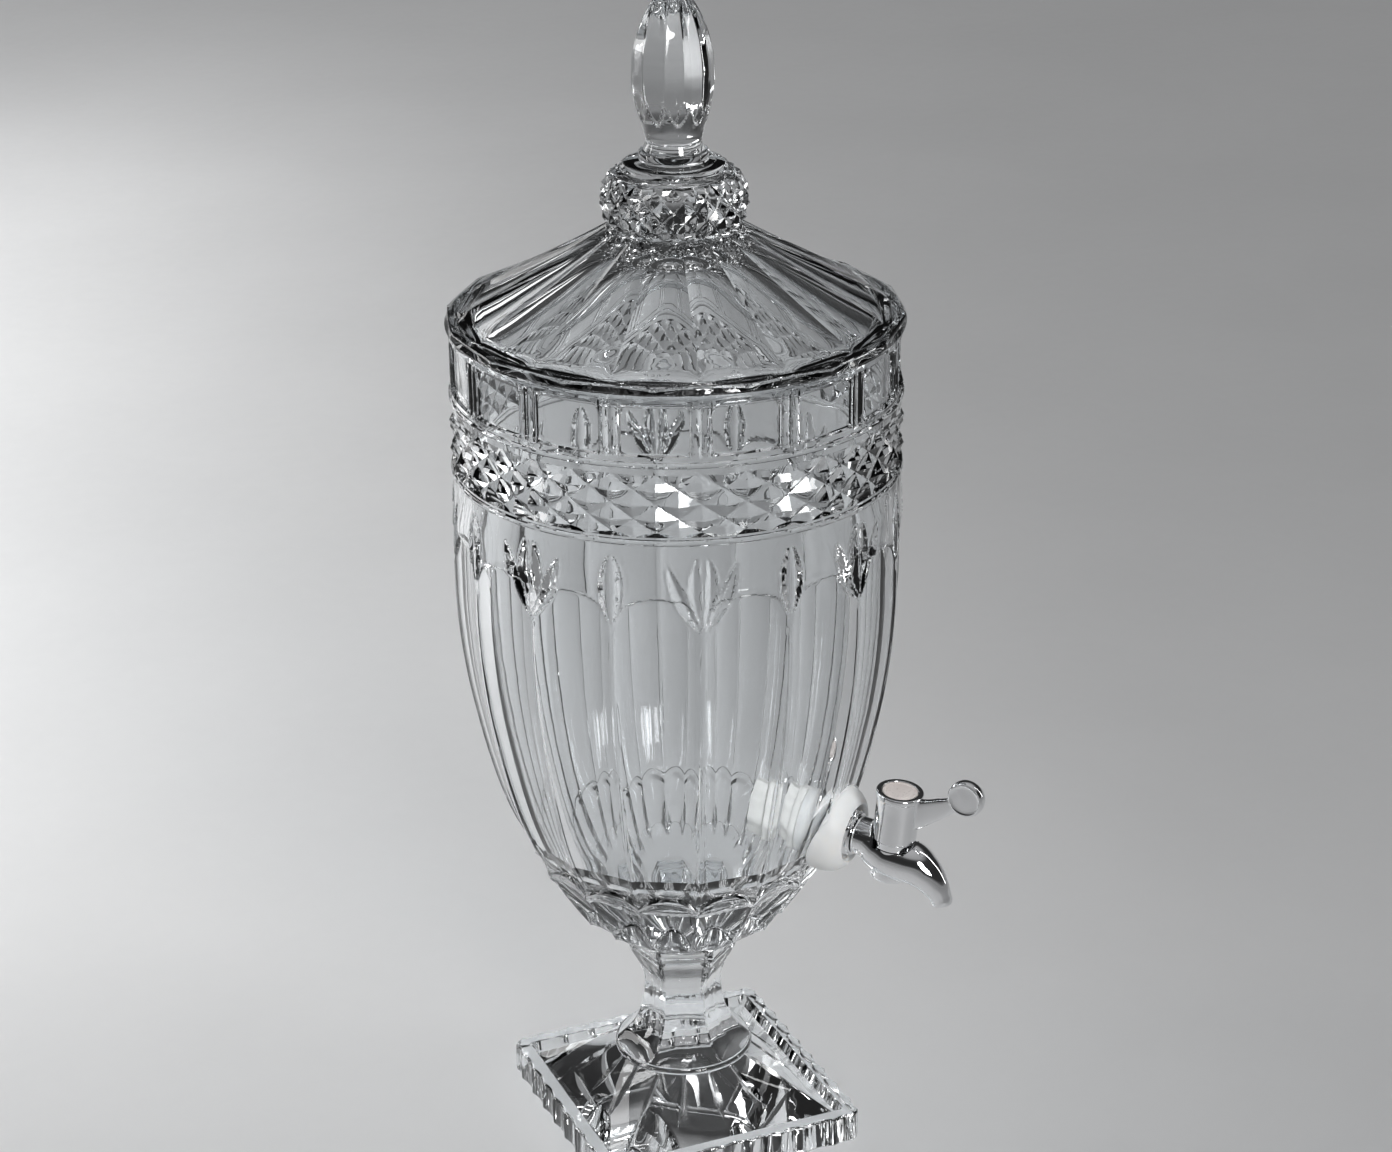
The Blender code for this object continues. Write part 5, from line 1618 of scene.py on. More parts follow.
class Lid:
    """The pressed lid: locating rim, flange, sixteen flutes and the knob."""

    FLUTES = (
        (0.00, 0.000, 0.35), (0.03, 0.020, 0.62), (0.10, 0.082, 0.85), (0.24, 0.195, 1.00),
        (0.42, 0.345, 1.00), (0.60, 0.500, 1.00), (0.80, 0.680, 0.80), (0.90, 0.775, 0.62),
    )
    FLUTE_LENGTHS = np.concatenate([[0.0, 0.008, 0.018, 0.032, 0.05], np.linspace(0.075, 0.87, 34)])
    UNDERSIDE = (
        (0.0, 443.2), (18.0, 443.0), (30.0, 442.0), (37.5, 439.6), (51.7, 432.0), (65.3, 424.4),
        (78.9, 416.6), (88.0, 411.6), (89.4, 410.4), (90.0, 408.5),
    )
    UNDERSIDE_RADII = (
        4, 12, 20, 27, 31, 34, 37, 41, 46, 51, 56, 61, 66, 71, 76, 80, 84, 87, 88.5, 89.4, 90,
    )
    EDGE_FILLETS = {1: 0.9, 2: 0.9, 3: 0.5, 4: 1.1, 5: 1.3}
    COLUMN_SHARES = (0.0, 0.12, 0.24, 0.36, 0.48, 0.6, 0.71, 0.81, 0.89, 0.945, 0.98, 1.0)
    TENTHS = 10
    BULB_CELLS = 4
    BULB_ROWS = 5
    NECK = (
        (27.4, 479.2), (27.2, 479.5), (23.0, 479.8), (21.6, 480.0), (22.6, 480.4), (23.7, 481.0),
        (23.9, 481.9), (23.7, 482.8), (22.6, 483.7), (20.6, 484.5), (18.6, 484.9), (15.6, 485.1),
        (15.2, 485.5), (15.5, 486.2), (15.6, 487.4), (15.5, 488.6), (15.0, 489.2), (13.7, 489.6),
        (13.4, 490.4), (12.9, 491.6), (12.4, 493.2), (12.5, 494.4),
    )
    BUD = (
        (0.00, 0.690, 1.0), (0.05, 0.735, 1.0), (0.10, 0.790, 1.0), (0.22, 0.920, 1.0),
        (0.36, 1.000, 1.0), (0.50, 0.985, 1.0), (0.64, 0.880, 1.0), (0.77, 0.700, 1.0),
        (0.89, 0.450, 0.9), (0.96, 0.255, 0.4), (0.985, 0.185, 0.0),
    )
    BUD_SHARES = np.concatenate([np.linspace(0, 0.27, 24), np.linspace(0.29, 0.985, 34)])
    BUD_TIP = ((2.6, 0.55), (1.6, 0.2), (0.8, 0.05))

    def __init__(self, sizes: LidSizes) -> None:
        """Take up the lid's sizes."""
        self.sizes = sizes

    def _plate(self) -> bpy.types.Mesh:
        """The plate over one flute, from the pole of its hollow to the bulb's foot.

        Returns:
            The sector's open mesh.
        """
        sizes = self.sizes
        skin = Skin(closed=False)
        even = np.linspace(0, FLUTE_TURN, 13)
        under = SmoothCurve(self.UNDERSIDE)
        skin.pole(float(under(0)))
        for radius in self.UNDERSIDE_RADII:
            skin.add(polar(even, radius, float(under(radius))), even)
        edge = rounded(
            (self.UNDERSIDE[-1], (sizes.rim_inner, sizes.rim_low), (sizes.rim_outer, sizes.rim_low),
             (sizes.rim_outer, sizes.base), (sizes.flange_radius, sizes.base),
             (sizes.flange_radius, sizes.flange_top), (100.4, sizes.flange_top + 0.15)),
            self.EDGE_FILLETS, 4)
        side = 1 - (2 * even / FLUTE_TURN - 1) ** 2
        for radius, height in edge[1:]:
            upper = smooth_step((height - sizes.base - 1.2) / 2.0) * smooth_step((radius - 98.0) / 3.0)
            skin.add(polar(even, radius - sizes.flange_flat * side * upper, height), even)
        turns, towards, _ = motif_columns(self.COLUMN_SHARES, 1)
        scallop = sizes.cusp * (1 - towards ** 2)
        for out, up in ((1.2, 0.55), (0.7, 0.35)):
            skin.add(polar(turns, sizes.flute_start + out + scallop, sizes.flange_top + up), turns)
        span = sizes.flute_start - sizes.flute_end
        rise = SmoothCurve([(length, height) for length, height, _ in self.FLUTES])
        depth = SmoothCurve([(length, share) for length, _, share in self.FLUTES])
        dish = np.clip(1 - towards ** 2, 0, 1)
        for length in self.FLUTE_LENGTHS:
            radius = sizes.flute_start - span * length
            fade = max(0.0, 1 - length / sizes.cusp_share)
            height = sizes.flute_low + sizes.flute_rise * float(rise(length))
            drop = sizes.flute_depth * float(depth(length)) * dish
            ridge = sizes.ridge * fade * (1 - dish)
            skin.add(polar(turns, radius + scallop * fade, height - drop - ridge), turns)
        low = np.linspace(0, FLUTE_TURN, 11)
        skin.add(polar(low, sizes.bulb_foot_radius + 0.5, sizes.bulb_foot - 0.4), low)
        skin.add(polar(low, sizes.bulb_foot_radius, sizes.bulb_foot), low)
        return skin.mesh("lid_plate")

    def _knob(self) -> bpy.types.Mesh:
        """One tenth of the knob, from the bulb's foot to the bud's tip.

        Returns:
            The sector's open mesh.
        """
        sizes = self.sizes
        tenth = FULL_TURN / self.TENTHS
        even = np.linspace(0, tenth, 17)
        skin = Skin(closed=False)
        skin.add(polar(even, sizes.bulb_foot_radius, sizes.bulb_foot), even)
        along = np.array(cell_places(self.BULB_CELLS))
        turns = along * tenth / self.BULB_CELLS
        for row in cell_places(self.BULB_ROWS):
            share = row / self.BULB_ROWS
            bulge = (1 - (2 * share - 1) ** 2) ** sizes.bulb_power
            radius = sizes.bulb_edge + (sizes.bulb_radius - sizes.bulb_edge) * bulge
            valley = sizes.bulb_depth * (1 - pyramid_peaks(along, row))
            height = sizes.bulb_low + (sizes.bulb_top - sizes.bulb_low) * share
            skin.add(polar(turns, radius - valley, height), turns)
        for radius, height in self.NECK:
            skin.add(polar(even, radius, height), even)
        outline = SmoothCurve([(share, radius) for share, radius, _ in self.BUD])
        depth = SmoothCurve([(share, fluted) for share, _, fluted in self.BUD])
        across = even / tenth
        flute = np.sin(across * pi) ** sizes.bud_flute_power
        start = sizes.bud_arch_low + sizes.bud_arch_rise * (2 * across - 1) ** 2
        for share in self.BUD_SHARES:
            radius = sizes.bud_radius * float(outline(share))
            arch = smooth_step((share - start) / sizes.bud_arch_fade)
            drop = sizes.bud_flute_depth * float(depth(share)) * flute * arch
            skin.add(polar(even, radius - drop, sizes.bud_low + sizes.bud_height * share), even)
        tip = sizes.bud_low + sizes.bud_height
        for radius, drop in self.BUD_TIP:
            skin.add(polar(even, radius, tip - drop), even)
        skin.pole(tip)
        return skin.mesh("lid_knob")

    def build(self, bench: Bench) -> bpy.types.Object:
        """Make the lid.

        Args:
            bench: the shared finishes and trees.

        Returns:
            The finished piece.
        """
        halves = []
        flutes = round(FULL_TURN / FLUTE_TURN)
        for mesh, count in ((self._plate(), flutes), (self._knob(), self.TENTHS)):
            half = new_object(mesh.name, mesh)
            bench.repeat(half, count, Slot.CRYSTAL)
            halves.append(half)
        lid = new_object("pressed_lid", joined("pressed_lid", [half.data for half in halves]))
        for half in halves:
            bpy.data.objects.remove(half, do_unlink=True)
        return bench.hand_over(lid, Slot.CRYSTAL, Body.LID, even_limit(11), "glass_lid")


# Tap


@dataclass(frozen=True)
class TapPlace:
    """Where the tap stands: its root in the wall and its handle's axis."""

    root: tuple[float, float, float] = (0.0, -79.695, 173.5)
    tilt: float = radians(6)
    barrel_reach: float = 31.3

    def root_matrix(self) -> Matrix:
        """The tap's own frame, its spout towards -Y."""
        return Matrix.Translation(Vector(self.root) * MM) @ Matrix.Rotation(self.tilt, 4, "X")

    def shank_matrix(self) -> Matrix:
        """The frame whose Z runs out along the shank."""
        return self.root_matrix() @ Matrix.Rotation(pi / 2, 4, "X")

    def handle_matrix(self) -> Matrix:
        """The frame whose Z runs up the handle's axis."""
        return self.root_matrix() @ Matrix.Translation((0, -self.barrel_reach * MM, 0))


@dataclass(frozen=True)
class TapSizes:
    """Sizes of the tap's body."""

    shank_radius: float = 6.85
    shank_inner: float = -38.8
    neck_inner: float = 13.4
    neck_outer: float = 24.4
    neck_radius: float = 9.2
    barrel_radius: float = 9.6
    barrel_low: float = -15.8
    barrel_top: float = 9.0
    cap_radius: float = 11.7
    cap_low: float = 1.2
    bore_radius: float = 6.6
    bore_low: float = -12.8
    bore_top: float = 29.6
    way_radius: float = 2.8
    thread_start: float = -38.2
    thread_length: float = 23.0
    thread_turns: float = 15.0
    thread_crest: float = 0.33


class TapBody:
    """The tap's body: shank with its thread, neck, horn-shaped spout and barrel."""

    HORN = (
        (13.6, 0.0, 8.6), (15.55, 0.0, 8.7), (19.5, 0.58, 9.46), (25.0, 3.0, 10.56),
        (31.3, 5.3, 11.0), (40.7, 5.5, 10.45), (47.9, 8.3, 8.8), (54.3, 13.6, 6.67),
        (57.9, 18.7, 5.2), (59.0, 21.0, 4.9), (59.05, 21.18, 4.75), (59.09, 21.3, 4.45),
    )
    OUTLET = (
        (31.3, 6.4), (40.7, 5.9), (47.9, 8.3), (54.3, 13.6), (57.9, 18.7), (59.0, 21.0), (59.9, 24.5),
    )
    COLUMNS = 72
    PROBE = 0.2

    def __init__(self, place: TapPlace, sizes: TapSizes) -> None:
        """Take up the tap's place and its own sizes."""
        self.place = place
        self.sizes = sizes

    def _tube(self, name: str, stations: Sequence[tuple[float, float, float]],
              steps: int) -> bpy.types.Mesh:
        """A round tube in the tap's middle plane.

        Args:
            name: the mesh's name.
            stations: (reach, drop, radius) triples along it.
            steps: how many lengths it is divided into.

        Returns:
            The closed mesh.
        """
        spots = [Vector((reach, drop)) for reach, drop, _ in stations]
        run = [0.0]
        for before, after in zip(spots, spots[1:]):
            run.append(run[-1] + (after - before).length)
        reach_at = SmoothCurve([(place, spot[0]) for place, spot in zip(run, spots)])
        drop_at = SmoothCurve([(place, spot[1]) for place, spot in zip(run, spots)])
        radius_at = SmoothCurve([(place, station[2]) for place, station in zip(run, stations)])
        turns = np.arange(self.COLUMNS) * FULL_TURN / self.COLUMNS
        aside = np.array([1.0, 0.0, 0.0])
        skin = Skin()
        for step in range(steps + 1):
            place = run[-1] * step / steps
            middle = np.array([0.0, -float(reach_at(place)), -float(drop_at(place))])
            ahead = min(place + self.PROBE, run[-1])
            behind = max(place - self.PROBE, 0.0)
            heading = np.array([0.0, float(reach_at(behind) - reach_at(ahead)),
                                float(drop_at(behind) - drop_at(ahead))])
            up = np.cross(heading / np.linalg.norm(heading), aside)
            spokes = np.cos(turns)[:, None] * aside - np.sin(turns)[:, None] * up
            if step == 0:
                skin.add(middle[None, :])
            skin.add(middle + float(radius_at(place)) * spokes, turns)
        skin.add(middle[None, :])
        mesh = skin.mesh(name, self.place.root_matrix())
        face_outwards(mesh)
        return mesh

    def _thread(self, bench: Bench) -> bpy.types.Object:
        """The thread on the shank.

        Args:
            bench: the shared finishes and trees.

        Returns:
            The finished piece.
        """
        sizes = self.sizes
        thread = new_object("shank_thread", bpy.data.meshes.new("shank_thread"))
        run_tree(thread, bench.thread, {
            "Radius": sizes.shank_radius * MM, "Length": sizes.thread_length * MM,
            "Turns": sizes.thread_turns, "Crest": sizes.thread_crest * MM,
            "Finish": bench.finishes[Slot.CHROME],
        })
        start = Matrix.Translation((0, 0, sizes.thread_start * MM))
        thread.data.transform(self.place.shank_matrix() @ start)
        return bench.hand_over(thread, Slot.CHROME, Body.DISPENSER, even_limit(35))

    def build(self, bench: Bench) -> list[bpy.types.Object]:
        """Make the body and its thread.

        Args:
            bench: the shared finishes and trees.

        Returns:
            The finished pieces.
        """
        sizes = self.sizes
        shank = self.place.shank_matrix()
        handle = self.place.handle_matrix()
        neck = rounded(
            ((0, sizes.shank_inner), (sizes.shank_radius, sizes.shank_inner),
             (sizes.shank_radius, sizes.neck_inner), (sizes.neck_radius, sizes.neck_inner),
             (sizes.neck_radius, sizes.neck_outer), (0, sizes.neck_outer)),
            {1: 0.5, 3: 0.5, 4: 0.6})
        body = new_object("chromed_tap_body", turned("neck", neck, self.COLUMNS, shank))
        barrel = rounded(
            ((0, sizes.barrel_low), (sizes.barrel_radius, sizes.barrel_low),
             (sizes.barrel_radius, sizes.barrel_top), (0, sizes.barrel_top)), {1: 2.5}, 8)
        join(body, [self._tube("horn", self.HORN, 60),
                    turned("barrel", barrel, self.COLUMNS, handle)], "UNION")
        room = cylinder(sizes.cap_radius, sizes.cap_low, sizes.bore_top)
        bore = cylinder(sizes.bore_radius, sizes.bore_low, sizes.bore_top)
        join(body, [
            turned("cap_room", room, 80, handle),
            turned("plug_bore", bore, 64, handle),
            turned("inlet", cylinder(sizes.way_radius, -45, 12), 32, shank),
            self._tube("outlet", [(*spot, sizes.way_radius) for spot in self.OUTLET], 30),
        ], "DIFFERENCE")
        weld(body.data)
        bench.hand_over(body, Slot.CHROME, Body.DISPENSER, even_limit(24), "tap_body")
        return [body, self._thread(bench)]


@dataclass(frozen=True)
class Nut:
    """A lobed nut: its name, the CAD node it stands for, and its sizes along the shank."""

    name: str
    node: str
    radius: float
    top: float
    thickness: float

    LOBES = 8
    LOBE_DEPTH = 1.1
    BORE = 7.5
    BORE_EDGE = 7.9

    def build(self, bench: Bench, shank: Matrix) -> bpy.types.Object:
        """Make the nut, its lobe repeated round the shank.

        Args:
            bench: the shared finishes and trees.
            shank: the shank's frame.

        Returns:
            The finished piece.
        """
        turns = np.linspace(0, FULL_TURN / self.LOBES, 17)
        side = self.radius - self.LOBE_DEPTH * (1 - np.cos(turns * self.LOBES)) / 2
        top = self.top
        bottom = top - self.thickness
        skin = Skin(closed=False)
        for radii, height in (
                (self.BORE, bottom + 0.4), (self.BORE_EDGE, bottom), (side - 1.0, bottom),
                (side - 0.3, bottom + 0.3), (side, bottom + 1.0), (side, top - 1.0),
                (side - 0.3, top - 0.3), (side - 1.0, top), (self.BORE_EDGE, top),
                (self.BORE, top - 0.4), (self.BORE, bottom + 0.4)):
            skin.add(polar(turns, radii, height), turns)
        nut = new_object(self.name, skin.mesh(self.name))
        bench.repeat(nut, self.LOBES, Slot.PLASTIC)
        nut.data.transform(shank)
        weld(nut.data)
        return bench.hand_over(nut, Slot.PLASTIC, Body.DISPENSER, even_limit(30), self.node)


class ShankFittings:
    """Washers, collar and nuts on the shank."""

    OUTER_WASHER = (
        (21.3, 0.0), (21.32, 1.4), (21.1, 2.6), (20.75, 4.2), (20.2, 5.8), (19.3, 7.6), (18.2, 9.0),
        (17.0, 10.3), (15.9, 11.1), (15.0, 11.6), (14.5, 11.75), (14.0, 11.6), (13.5, 10.9),
        (13.1, 10.0), (12.95, 9.0), (12.9, 5.2), (7.5, 5.2),
    )
    INNER_WASHER = (
        (15.5, 0.0), (15.5, -13.9), (15.3, -14.5), (14.7, -14.8), (7.9, -14.8), (7.5, -14.4),
        (7.5, 0.0),
    )
    COLLAR = (
        (7.5, 5.6, 1.0, 1.0), (12.0, 5.5, 0.0, 1.0), (12.4, 5.7, 0.0, 1.0), (12.6, 6.2, 0.0, 1.0),
        (12.6, 10.4, 0.0, 1.0), (12.2, 10.9, 0.0, 1.0), (11.6, 11.3, 0.35, 0.985),
        (10.9, 11.6, 1.0, 0.985), (10.5, 11.9, 1.0, 0.985), (10.3, 12.9, 1.0, 0.985),
        (10.0, 13.1, 1.0, 1.0), (7.5, 13.1, 1.0, 1.0), (7.5, 5.6, 1.0, 1.0),
    )
    NUTS = (
        Nut("lobed_seat_nut", "seat_nut", 15.5, -15.1, 6.6),
        Nut("lobed_lock_nut", "lock_nut", 13.5, -22.0, 14.8),
    )
    CLEARANCE = 0.3
    BED_STEPS = 12
    WASHER_COLUMNS = 128
    COLLAR_COLUMNS = 96
    SEARCH_SPAN = (-24.0, 12.0)
    SEARCH_HALVINGS = 18

    def __init__(self, place: TapPlace) -> None:
        """Take up the tap's place."""
        self.place = place

    def _washer(self, name: str, outline: Spots,
                wall: Callable[[float, float], float]) -> bpy.types.Object:
        """A washer whose one face follows the bowl's wall.

        Args:
            name: its name.
            outline: (radius, height) spots along the shank, from the outer edge of the wall's side
                round to its inner edge. The heights of these two come from the wall.
            wall: gives the wall's height along the shank at two offsets from its axis.

        Returns:
            The washer, still to be dressed.
        """
        turns = np.arange(self.WASHER_COLUMNS) * FULL_TURN / self.WASHER_COLUMNS
        bed = np.linspace(outline[-1][0], outline[0][0], self.BED_STEPS + 1)
        rows = [(outline[0][0], None), *outline[1:-1], *((radius, None) for radius in bed)]
        skin = Skin()
        for radius, height in rows:
            points = polar(turns, radius, height or 0.0)
            if height is None:
                points[:, 2] = [wall(x, y) for x, y, _ in points]
            skin.add(points, turns)
        mesh = skin.mesh(name, self.place.shank_matrix())
        weld(mesh)
        face_outwards(mesh)
        return new_object(name, mesh)

    def _wall_finder(self, bowl: Bowl, inner: bool) -> Callable[[float, float], float]:
        """A function that gives the height along the shank at which the wall is met.

        Args:
            bowl: the bowl.
            inner: whether the inner face of the wall is meant.

        Returns:
            The function of two offsets from the shank's axis.
        """
        matrix = self.place.shank_matrix()

        def distance(x: float, y: float, z: float) -> float:
            """How far outside the wall a point lies.

            Args:
                x: its offset to the side in the shank's frame.
                y: its offset upwards.
                z: its height along the shank.

            Returns:
                The distance, less than nothing on the axis's side.
            """
            spot = (matrix @ Vector((x * MM, y * MM, z * MM))) / MM
            reach = (spot.x ** 2 + spot.y ** 2) ** 0.5
            if inner:
                return reach - (float(bowl.body(spot.z)) - bowl.sizes.wall - self.CLEARANCE)
            half = FLUTE_TURN / 2
            turn = np.arctan2(spot.x, -spot.y)
            towards = abs((turn + half) % FLUTE_TURN - half) / half
            return reach - (float(bowl.fluted_radius(towards, spot.z)) + self.CLEARANCE)

        def find(x: float, y: float) -> float:
            """Halve the interval that holds the wall.

            Args:
                x: the offset to the side in the shank's frame.
                y: the offset upwards.

            Returns:
                The height along the shank.
            """
            low, high = self.SEARCH_SPAN
            for _ in range(self.SEARCH_HALVINGS):
                middle = (low + high) / 2
                if distance(x, y, middle) > 0:
                    high = middle
                else:
                    low = middle
            return (low + high) / 2

        return find

    def _collar(self) -> bpy.types.Object:
        """The six-sided collar, its corners turned down at the outer end.

        Returns:
            The collar, still to be dressed.
        """
        turns = np.arange(self.COLLAR_COLUMNS) * FULL_TURN / self.COLLAR_COLUMNS
        flat, _ = hexagon_shares(turns)
        skin = Skin()
        for radius, height, roundness, most in self.COLLAR:
            shares = np.minimum(flat + (1 - flat) * roundness, most)
            skin.add(polar(turns, radius * shares, height), turns)
        mesh = skin.mesh("hexagon_collar", self.place.shank_matrix())
        weld(mesh)
        return new_object(mesh.name, mesh)

    def build(self, bench: Bench, bowl: Bowl) -> list[bpy.types.Object]:
        """Make the fittings.

        Args:
            bench: the shared finishes and trees.
            bowl: the bowl, for its wall.

        Returns:
            The finished pieces.
        """
        outer = self._washer("outer_seal", self.OUTER_WASHER, self._wall_finder(bowl, False))
        inner = self._washer("inner_seal", self.INNER_WASHER, self._wall_finder(bowl, True))
        made = [
            bench.hand_over(thing, slot, Body.DISPENSER, even_limit(limit), node)
            for thing, slot, limit, node in (
                (outer, Slot.SILICONE, 30, "outer_washer"), (inner, Slot.SILICONE, 30, "inner_washer"),
                (self._collar(), Slot.CHROME, 22, "hex_collar"))
        ]
        return made + [nut.build(bench, self.place.shank_matrix()) for nut in self.NUTS]


class Handle:
    """The handle: cap with its bead, flat lever and round paddle, and the disc in the cap's top."""

    CAP = (
        (0, 1.6), (9.6, 1.6), (9.75, 4.8), (10.0, 5.0), (10.3, 5.6), (10.25, 12.0), (10.3, 20.0),
        (10.35, 25.9), (10.5, 26.8), (11.1, 26.8), (11.1, 29.6), (8.5, 29.6), (8.5, 28.2), (0, 28.2),
    )
    CAP_FILLETS = {1: 0.3, 8: 0.3, 9: 0.7, 10: 0.9, 11: 0.4}
    POCKET = ((0, -2), (4.7, -2), (4.7, 23.9), (3.3, 23.9), (3.3, 30), (0, 30))
    LEVER_LOW = (
        (6.2, 12.6), (9.6, 12.6), (12.5, 14.2), (17.0, 18.0), (23.5, 23.6), (29.0, 29.0), (32.2, 32.6),
    )
    LEVER_HIGH = ((6.2, 28.0), (9.6, 28.0), (13.0, 28.8), (18.0, 31.0), (23.5, 33.5), (32.2, 40.0))
    LEVER_HALF = ((6.2, 2.5), (9.6, 2.5), (14.0, 2.05), (24.0, 1.95), (32.2, 2.1))
    LEVER_REACHES = np.linspace(6.2, 32.2, 34)
    LEVER_COLUMNS = 40
    LEVER_FLATNESS = 0.35
    LEVER_CROWN = 0.8
    PADDLE = (
        (0, -2.45), (3.0, -2.4), (5.6, -2.3), (6.6, -2.35), (7.4, -2.75), (8.0, -2.6), (8.5, -2.0),
        (8.75, -1.1), (8.8, 0.0), (8.75, 1.1), (8.5, 2.0), (8.0, 2.6), (7.4, 2.75), (6.6, 2.35),
        (5.6, 2.3), (3.0, 2.4), (0, 2.45),
    )
    PADDLE_PLACE = (0.0, -32.2, 36.3)
    DISC = (
        (0, 28.5), (8.2, 28.5), (8.2, 29.2), (8.05, 29.42), (7.7, 29.5), (6.9, 29.5), (6.75, 29.3),
        (6.45, 29.3), (6.3, 29.48), (4.6, 29.46), (2.0, 29.42), (0, 29.42),
    )

    def __init__(self, place: TapPlace) -> None:
        """Take up the tap's place."""
        self.place = place

    def _lever(self) -> bpy.types.Mesh:
        """The lever: a flat web with rounded edges, from the cap to the paddle.

        Returns:
            The closed mesh.
        """
        low, high, half = (
            SmoothCurve(spots) for spots in (self.LEVER_LOW, self.LEVER_HIGH, self.LEVER_HALF))
        turns = np.arange(self.LEVER_COLUMNS) * FULL_TURN / self.LEVER_COLUMNS
        across = np.sign(np.cos(turns)) * np.abs(np.cos(turns)) ** self.LEVER_FLATNESS
        up = np.sign(np.sin(turns)) * np.abs(np.sin(turns)) ** self.LEVER_CROWN
        skin = Skin()
        for index, reach in enumerate(self.LEVER_REACHES):
            middle = float(high(reach) + low(reach)) / 2
            rise = float(high(reach) - low(reach)) / 2
            if index == 0:
                skin.add(np.array([[0.0, -reach, middle]]))
            skin.add(np.stack([across * float(half(reach)), np.full_like(turns, -reach),
                               middle + up * rise], axis=-1), turns)
        skin.add(np.array([[0.0, -reach, middle]]))
        mesh = skin.mesh("lever", self.place.handle_matrix())
        face_outwards(mesh)
        return mesh

    def build(self, bench: Bench) -> list[bpy.types.Object]:
        """Make the handle and its disc.

        Args:
            bench: the shared finishes and trees.

        Returns:
            The finished pieces.
        """
        axis = self.place.handle_matrix()
        outline = rounded(self.CAP, self.CAP_FILLETS, 5)
        handle = new_object("chromed_handle", turned("cap", outline, 96, axis))
        place = Matrix.Translation(Vector(self.PADDLE_PLACE) * MM)
        sideways = axis @ place @ Matrix.Rotation(pi / 2, 4, "Y")
        join(handle, [self._lever(), turned("paddle", self.PADDLE, 72, sideways)], "UNION")
        join(handle, [turned("recess", cylinder(8.5, 28.2, 34), 72, axis),
                      turned("pocket", self.POCKET, 48, axis)], "DIFFERENCE")
        weld(handle.data, FINE_MERGE_DISTANCE)
        bench.hand_over(handle, Slot.CHROME, Body.HANDLE, even_limit(26), "tap_handle")
        disc = new_object("inlaid_disc", turned("inlaid_disc", self.DISC, 64, axis))
        bench.hand_over(disc, Slot.BADGE, Body.HANDLE, even_limit(35), "badge_disc")
        return [handle, disc]


# Studio


@dataclass(frozen=True)
class Lamp:
    """A soft box that the camera doesn't see, in metres, watts and degrees."""

    name: str
    place: tuple[float, float, float]
    target: tuple[float, float, float]
    width: float
    height: float
    power: float
    spread: float = 180.0

    def build(self) -> None:
        """Set the lamp up, facing its target."""
        light = bpy.data.lights.new(self.name, "AREA")
        light.shape = "RECTANGLE"
        light.size = self.width
        light.size_y = self.height
        light.energy = self.power
        light.spread = radians(self.spread)
        lamp = new_object(self.name, light)
        lamp.location = self.place
        away = Vector(self.place) - Vector(self.target)
        lamp.rotation_euler = away.to_track_quat("Z", "Y").to_euler()
        lamp.visible_camera = False


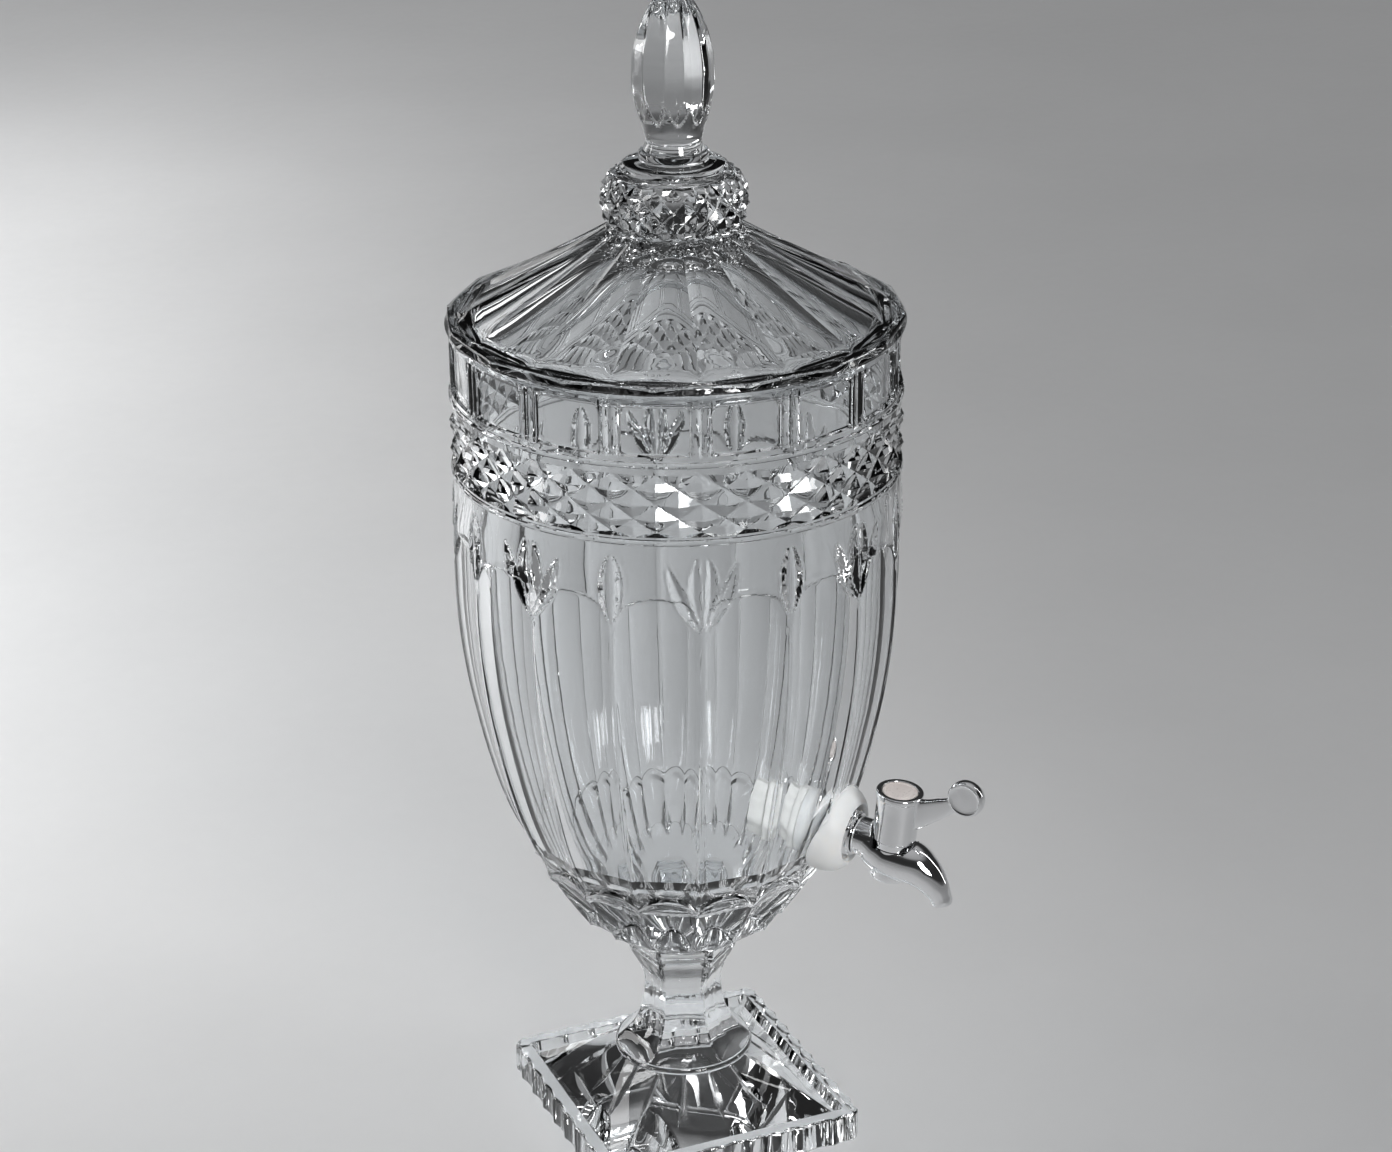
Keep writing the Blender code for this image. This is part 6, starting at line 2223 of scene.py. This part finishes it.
class Studio:
    """Floor, surroundings, lamps and camera."""

    LAMPS = (
        Lamp("left_bank", (0.446, 1.083, 0.52), (0.500, 0.980, 0.0), 1.9, 0.25, 5.5),
        Lamp("far_pool", (1.55, 2.20, 1.2), (1.55, 1.9, 0.0), 1.2, 0.6, 3.5),
        Lamp("front_key", (-0.627, -0.953, 0.75), (0.0, 0.0, 0.28), 0.35, 0.7, 0.7, 34.0),
        Lamp("left_strip", (-0.28, 0.80, 0.62), (0.0, 0.0, 0.3), 0.08, 1.2, 2.0),
        Lamp("right_strip", (0.50, -0.72, 0.62), (0.0, 0.0, 0.3), 0.04, 1.0, 0.9),
    )
    SKY = (
        (0.0, 0.225), (0.035, 0.225), (0.07, 0.10), (0.14, 0.03), (0.45, 0.025), (0.62, 0.04),
        (0.76, 0.32), (1.0, 0.42),
    )
    SKY_TINT = (1.0, 1.005, 1.02)
    FLOOR_RADIUS = 60000.0
    FLOOR_DROP = 0.05
    SENSOR_WIDTH = 36.0
    LENS = 83.68
    CAMERA_PLACE = (-1.2186, -0.6439, 0.8771)
    CAMERA_TURNS = ((-62.486, "Z"), (66.7535, "X"), (-0.496, "Z"))

    def build(self) -> None:
        """Make the floor, the surroundings, the lamps and the camera."""
        bpy.context.scene.view_settings.view_transform = "Standard"
        self._floor()
        self._world()
        for lamp in self.LAMPS:
            lamp.build()
        self._camera()

    def _floor(self) -> None:
        """A large round floor, a hair under the foot."""
        slab = ((0, -0.5), (self.FLOOR_RADIUS, -0.5), (self.FLOOR_RADIUS, 0), (0, 0))
        floor = new_object("floor", turned("floor", slab, 96))
        floor.data.transform(Matrix.Translation((0, 0, -self.FLOOR_DROP * MM)))
        floor.data.materials.append(Floor().build())

    def _world(self) -> None:
        """Light from overhead over a dark band, which gives the glass its dark edges."""
        world = bpy.data.worlds.new("studio")
        world.use_nodes = True
        bpy.context.scene.world = world
        bench = NodeBench(world.node_tree)
        heading = bench.add("ShaderNodeTexCoord").outputs["Generated"]
        parts = bench.add("ShaderNodeSeparateXYZ", {0: heading})
        ramp = bench.add("ShaderNodeValToRGB", {"Fac": parts.outputs["Z"]})
        stops = ramp.color_ramp.elements
        stops[0].position, stops[1].position = self.SKY[0][0], self.SKY[-1][0]
        for place, _ in self.SKY[1:-1]:
            stops.new(place)
        for (_, shade), stop in zip(self.SKY, stops):
            stop.color = (*(shade * tint for tint in self.SKY_TINT), 1)
        background = world.node_tree.nodes["Background"]
        bench.set(background.inputs["Color"], ramp.outputs["Color"])
        background.inputs["Strength"].default_value = 1.0

    def _camera(self) -> None:
        """The camera, placed as the photo's perspective tells."""
        data = bpy.data.cameras.new("camera")
        data.sensor_width = self.SENSOR_WIDTH
        data.lens = self.LENS
        camera = new_object("camera", data)
        matrix = Matrix.Translation(self.CAMERA_PLACE)
        for degrees, axis in self.CAMERA_TURNS:
            matrix = matrix @ Matrix.Rotation(radians(degrees), 4, axis)
        camera.matrix_world = matrix
        bpy.context.scene.camera = camera


# The whole


INNER_PARTS = {
    "valve_plug": Slot.PLASTIC, "lower_o_ring": Slot.RUBBER, "upper_o_ring": Slot.RUBBER,
    "plug_retainer": Slot.CHROME, "handle_screw": Slot.STEEL,
}


def all_finishes() -> dict[Slot, bpy.types.Material]:
    """Make every finish once.

    Returns:
        The materials by slot.
    """
    finishes = {
        Slot.CRYSTAL: CrystalGlass(),
        Slot.CHROME: Plated(Slot.CHROME.value, (0.86, 0.865, 0.875), 0.03, 0.085),
        Slot.SILICONE: Moulded(
            Slot.SILICONE.value, (0.80, 0.81, 0.81), (0.87, 0.87, 0.86), 0.46, 0.004),
        Slot.PLASTIC: Moulded(Slot.PLASTIC.value, (0.82, 0.82, 0.80), (0.87, 0.87, 0.85), 0.38),
        Slot.RUBBER: Moulded(Slot.RUBBER.value, (0.018, 0.018, 0.019), (0.032, 0.032, 0.033), 0.32),
        Slot.STEEL: Plated(Slot.STEEL.value, (0.60, 0.60, 0.59), 0.16, 0.30, 300.0),
        Slot.BADGE: Moulded(Slot.BADGE.value, (0.70, 0.63, 0.60), (0.78, 0.72, 0.69), 0.30),
    }
    return {slot: finish.build() for slot, finish in finishes.items()}


def dress_inner_parts(finishes: dict[Slot, bpy.types.Material]) -> None:
    """Give the small CAD parts that stay in view their finishes.

    Args:
        finishes: the materials by slot.
    """
    for node, slot in INNER_PARTS.items():
        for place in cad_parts[node].material_slots:
            place.material = finishes[slot]
        log.info("%s: CAD part in %s", node, slot.value)


def main() -> None:
    """Build the sub-assemblies in order and report each."""
    logging.basicConfig(level=logging.INFO, format="%(name)s: %(message)s")
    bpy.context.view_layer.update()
    bench = Bench(all_finishes(), round_repeat_tree(), thread_tree())
    place = TapPlace()
    bowl = Bowl(BowlSizes())
    Foot(FootSizes()).build(bench)
    bowl.build(bench, place.shank_matrix())
    Lid(LidSizes()).build(bench)
    TapBody(place, TapSizes()).build(bench)
    ShankFittings(place).build(bench, bowl)
    Handle(place).build(bench)
    dress_inner_parts(bench.finishes)
    Studio().build()


if __name__ == "__main__":
    main()
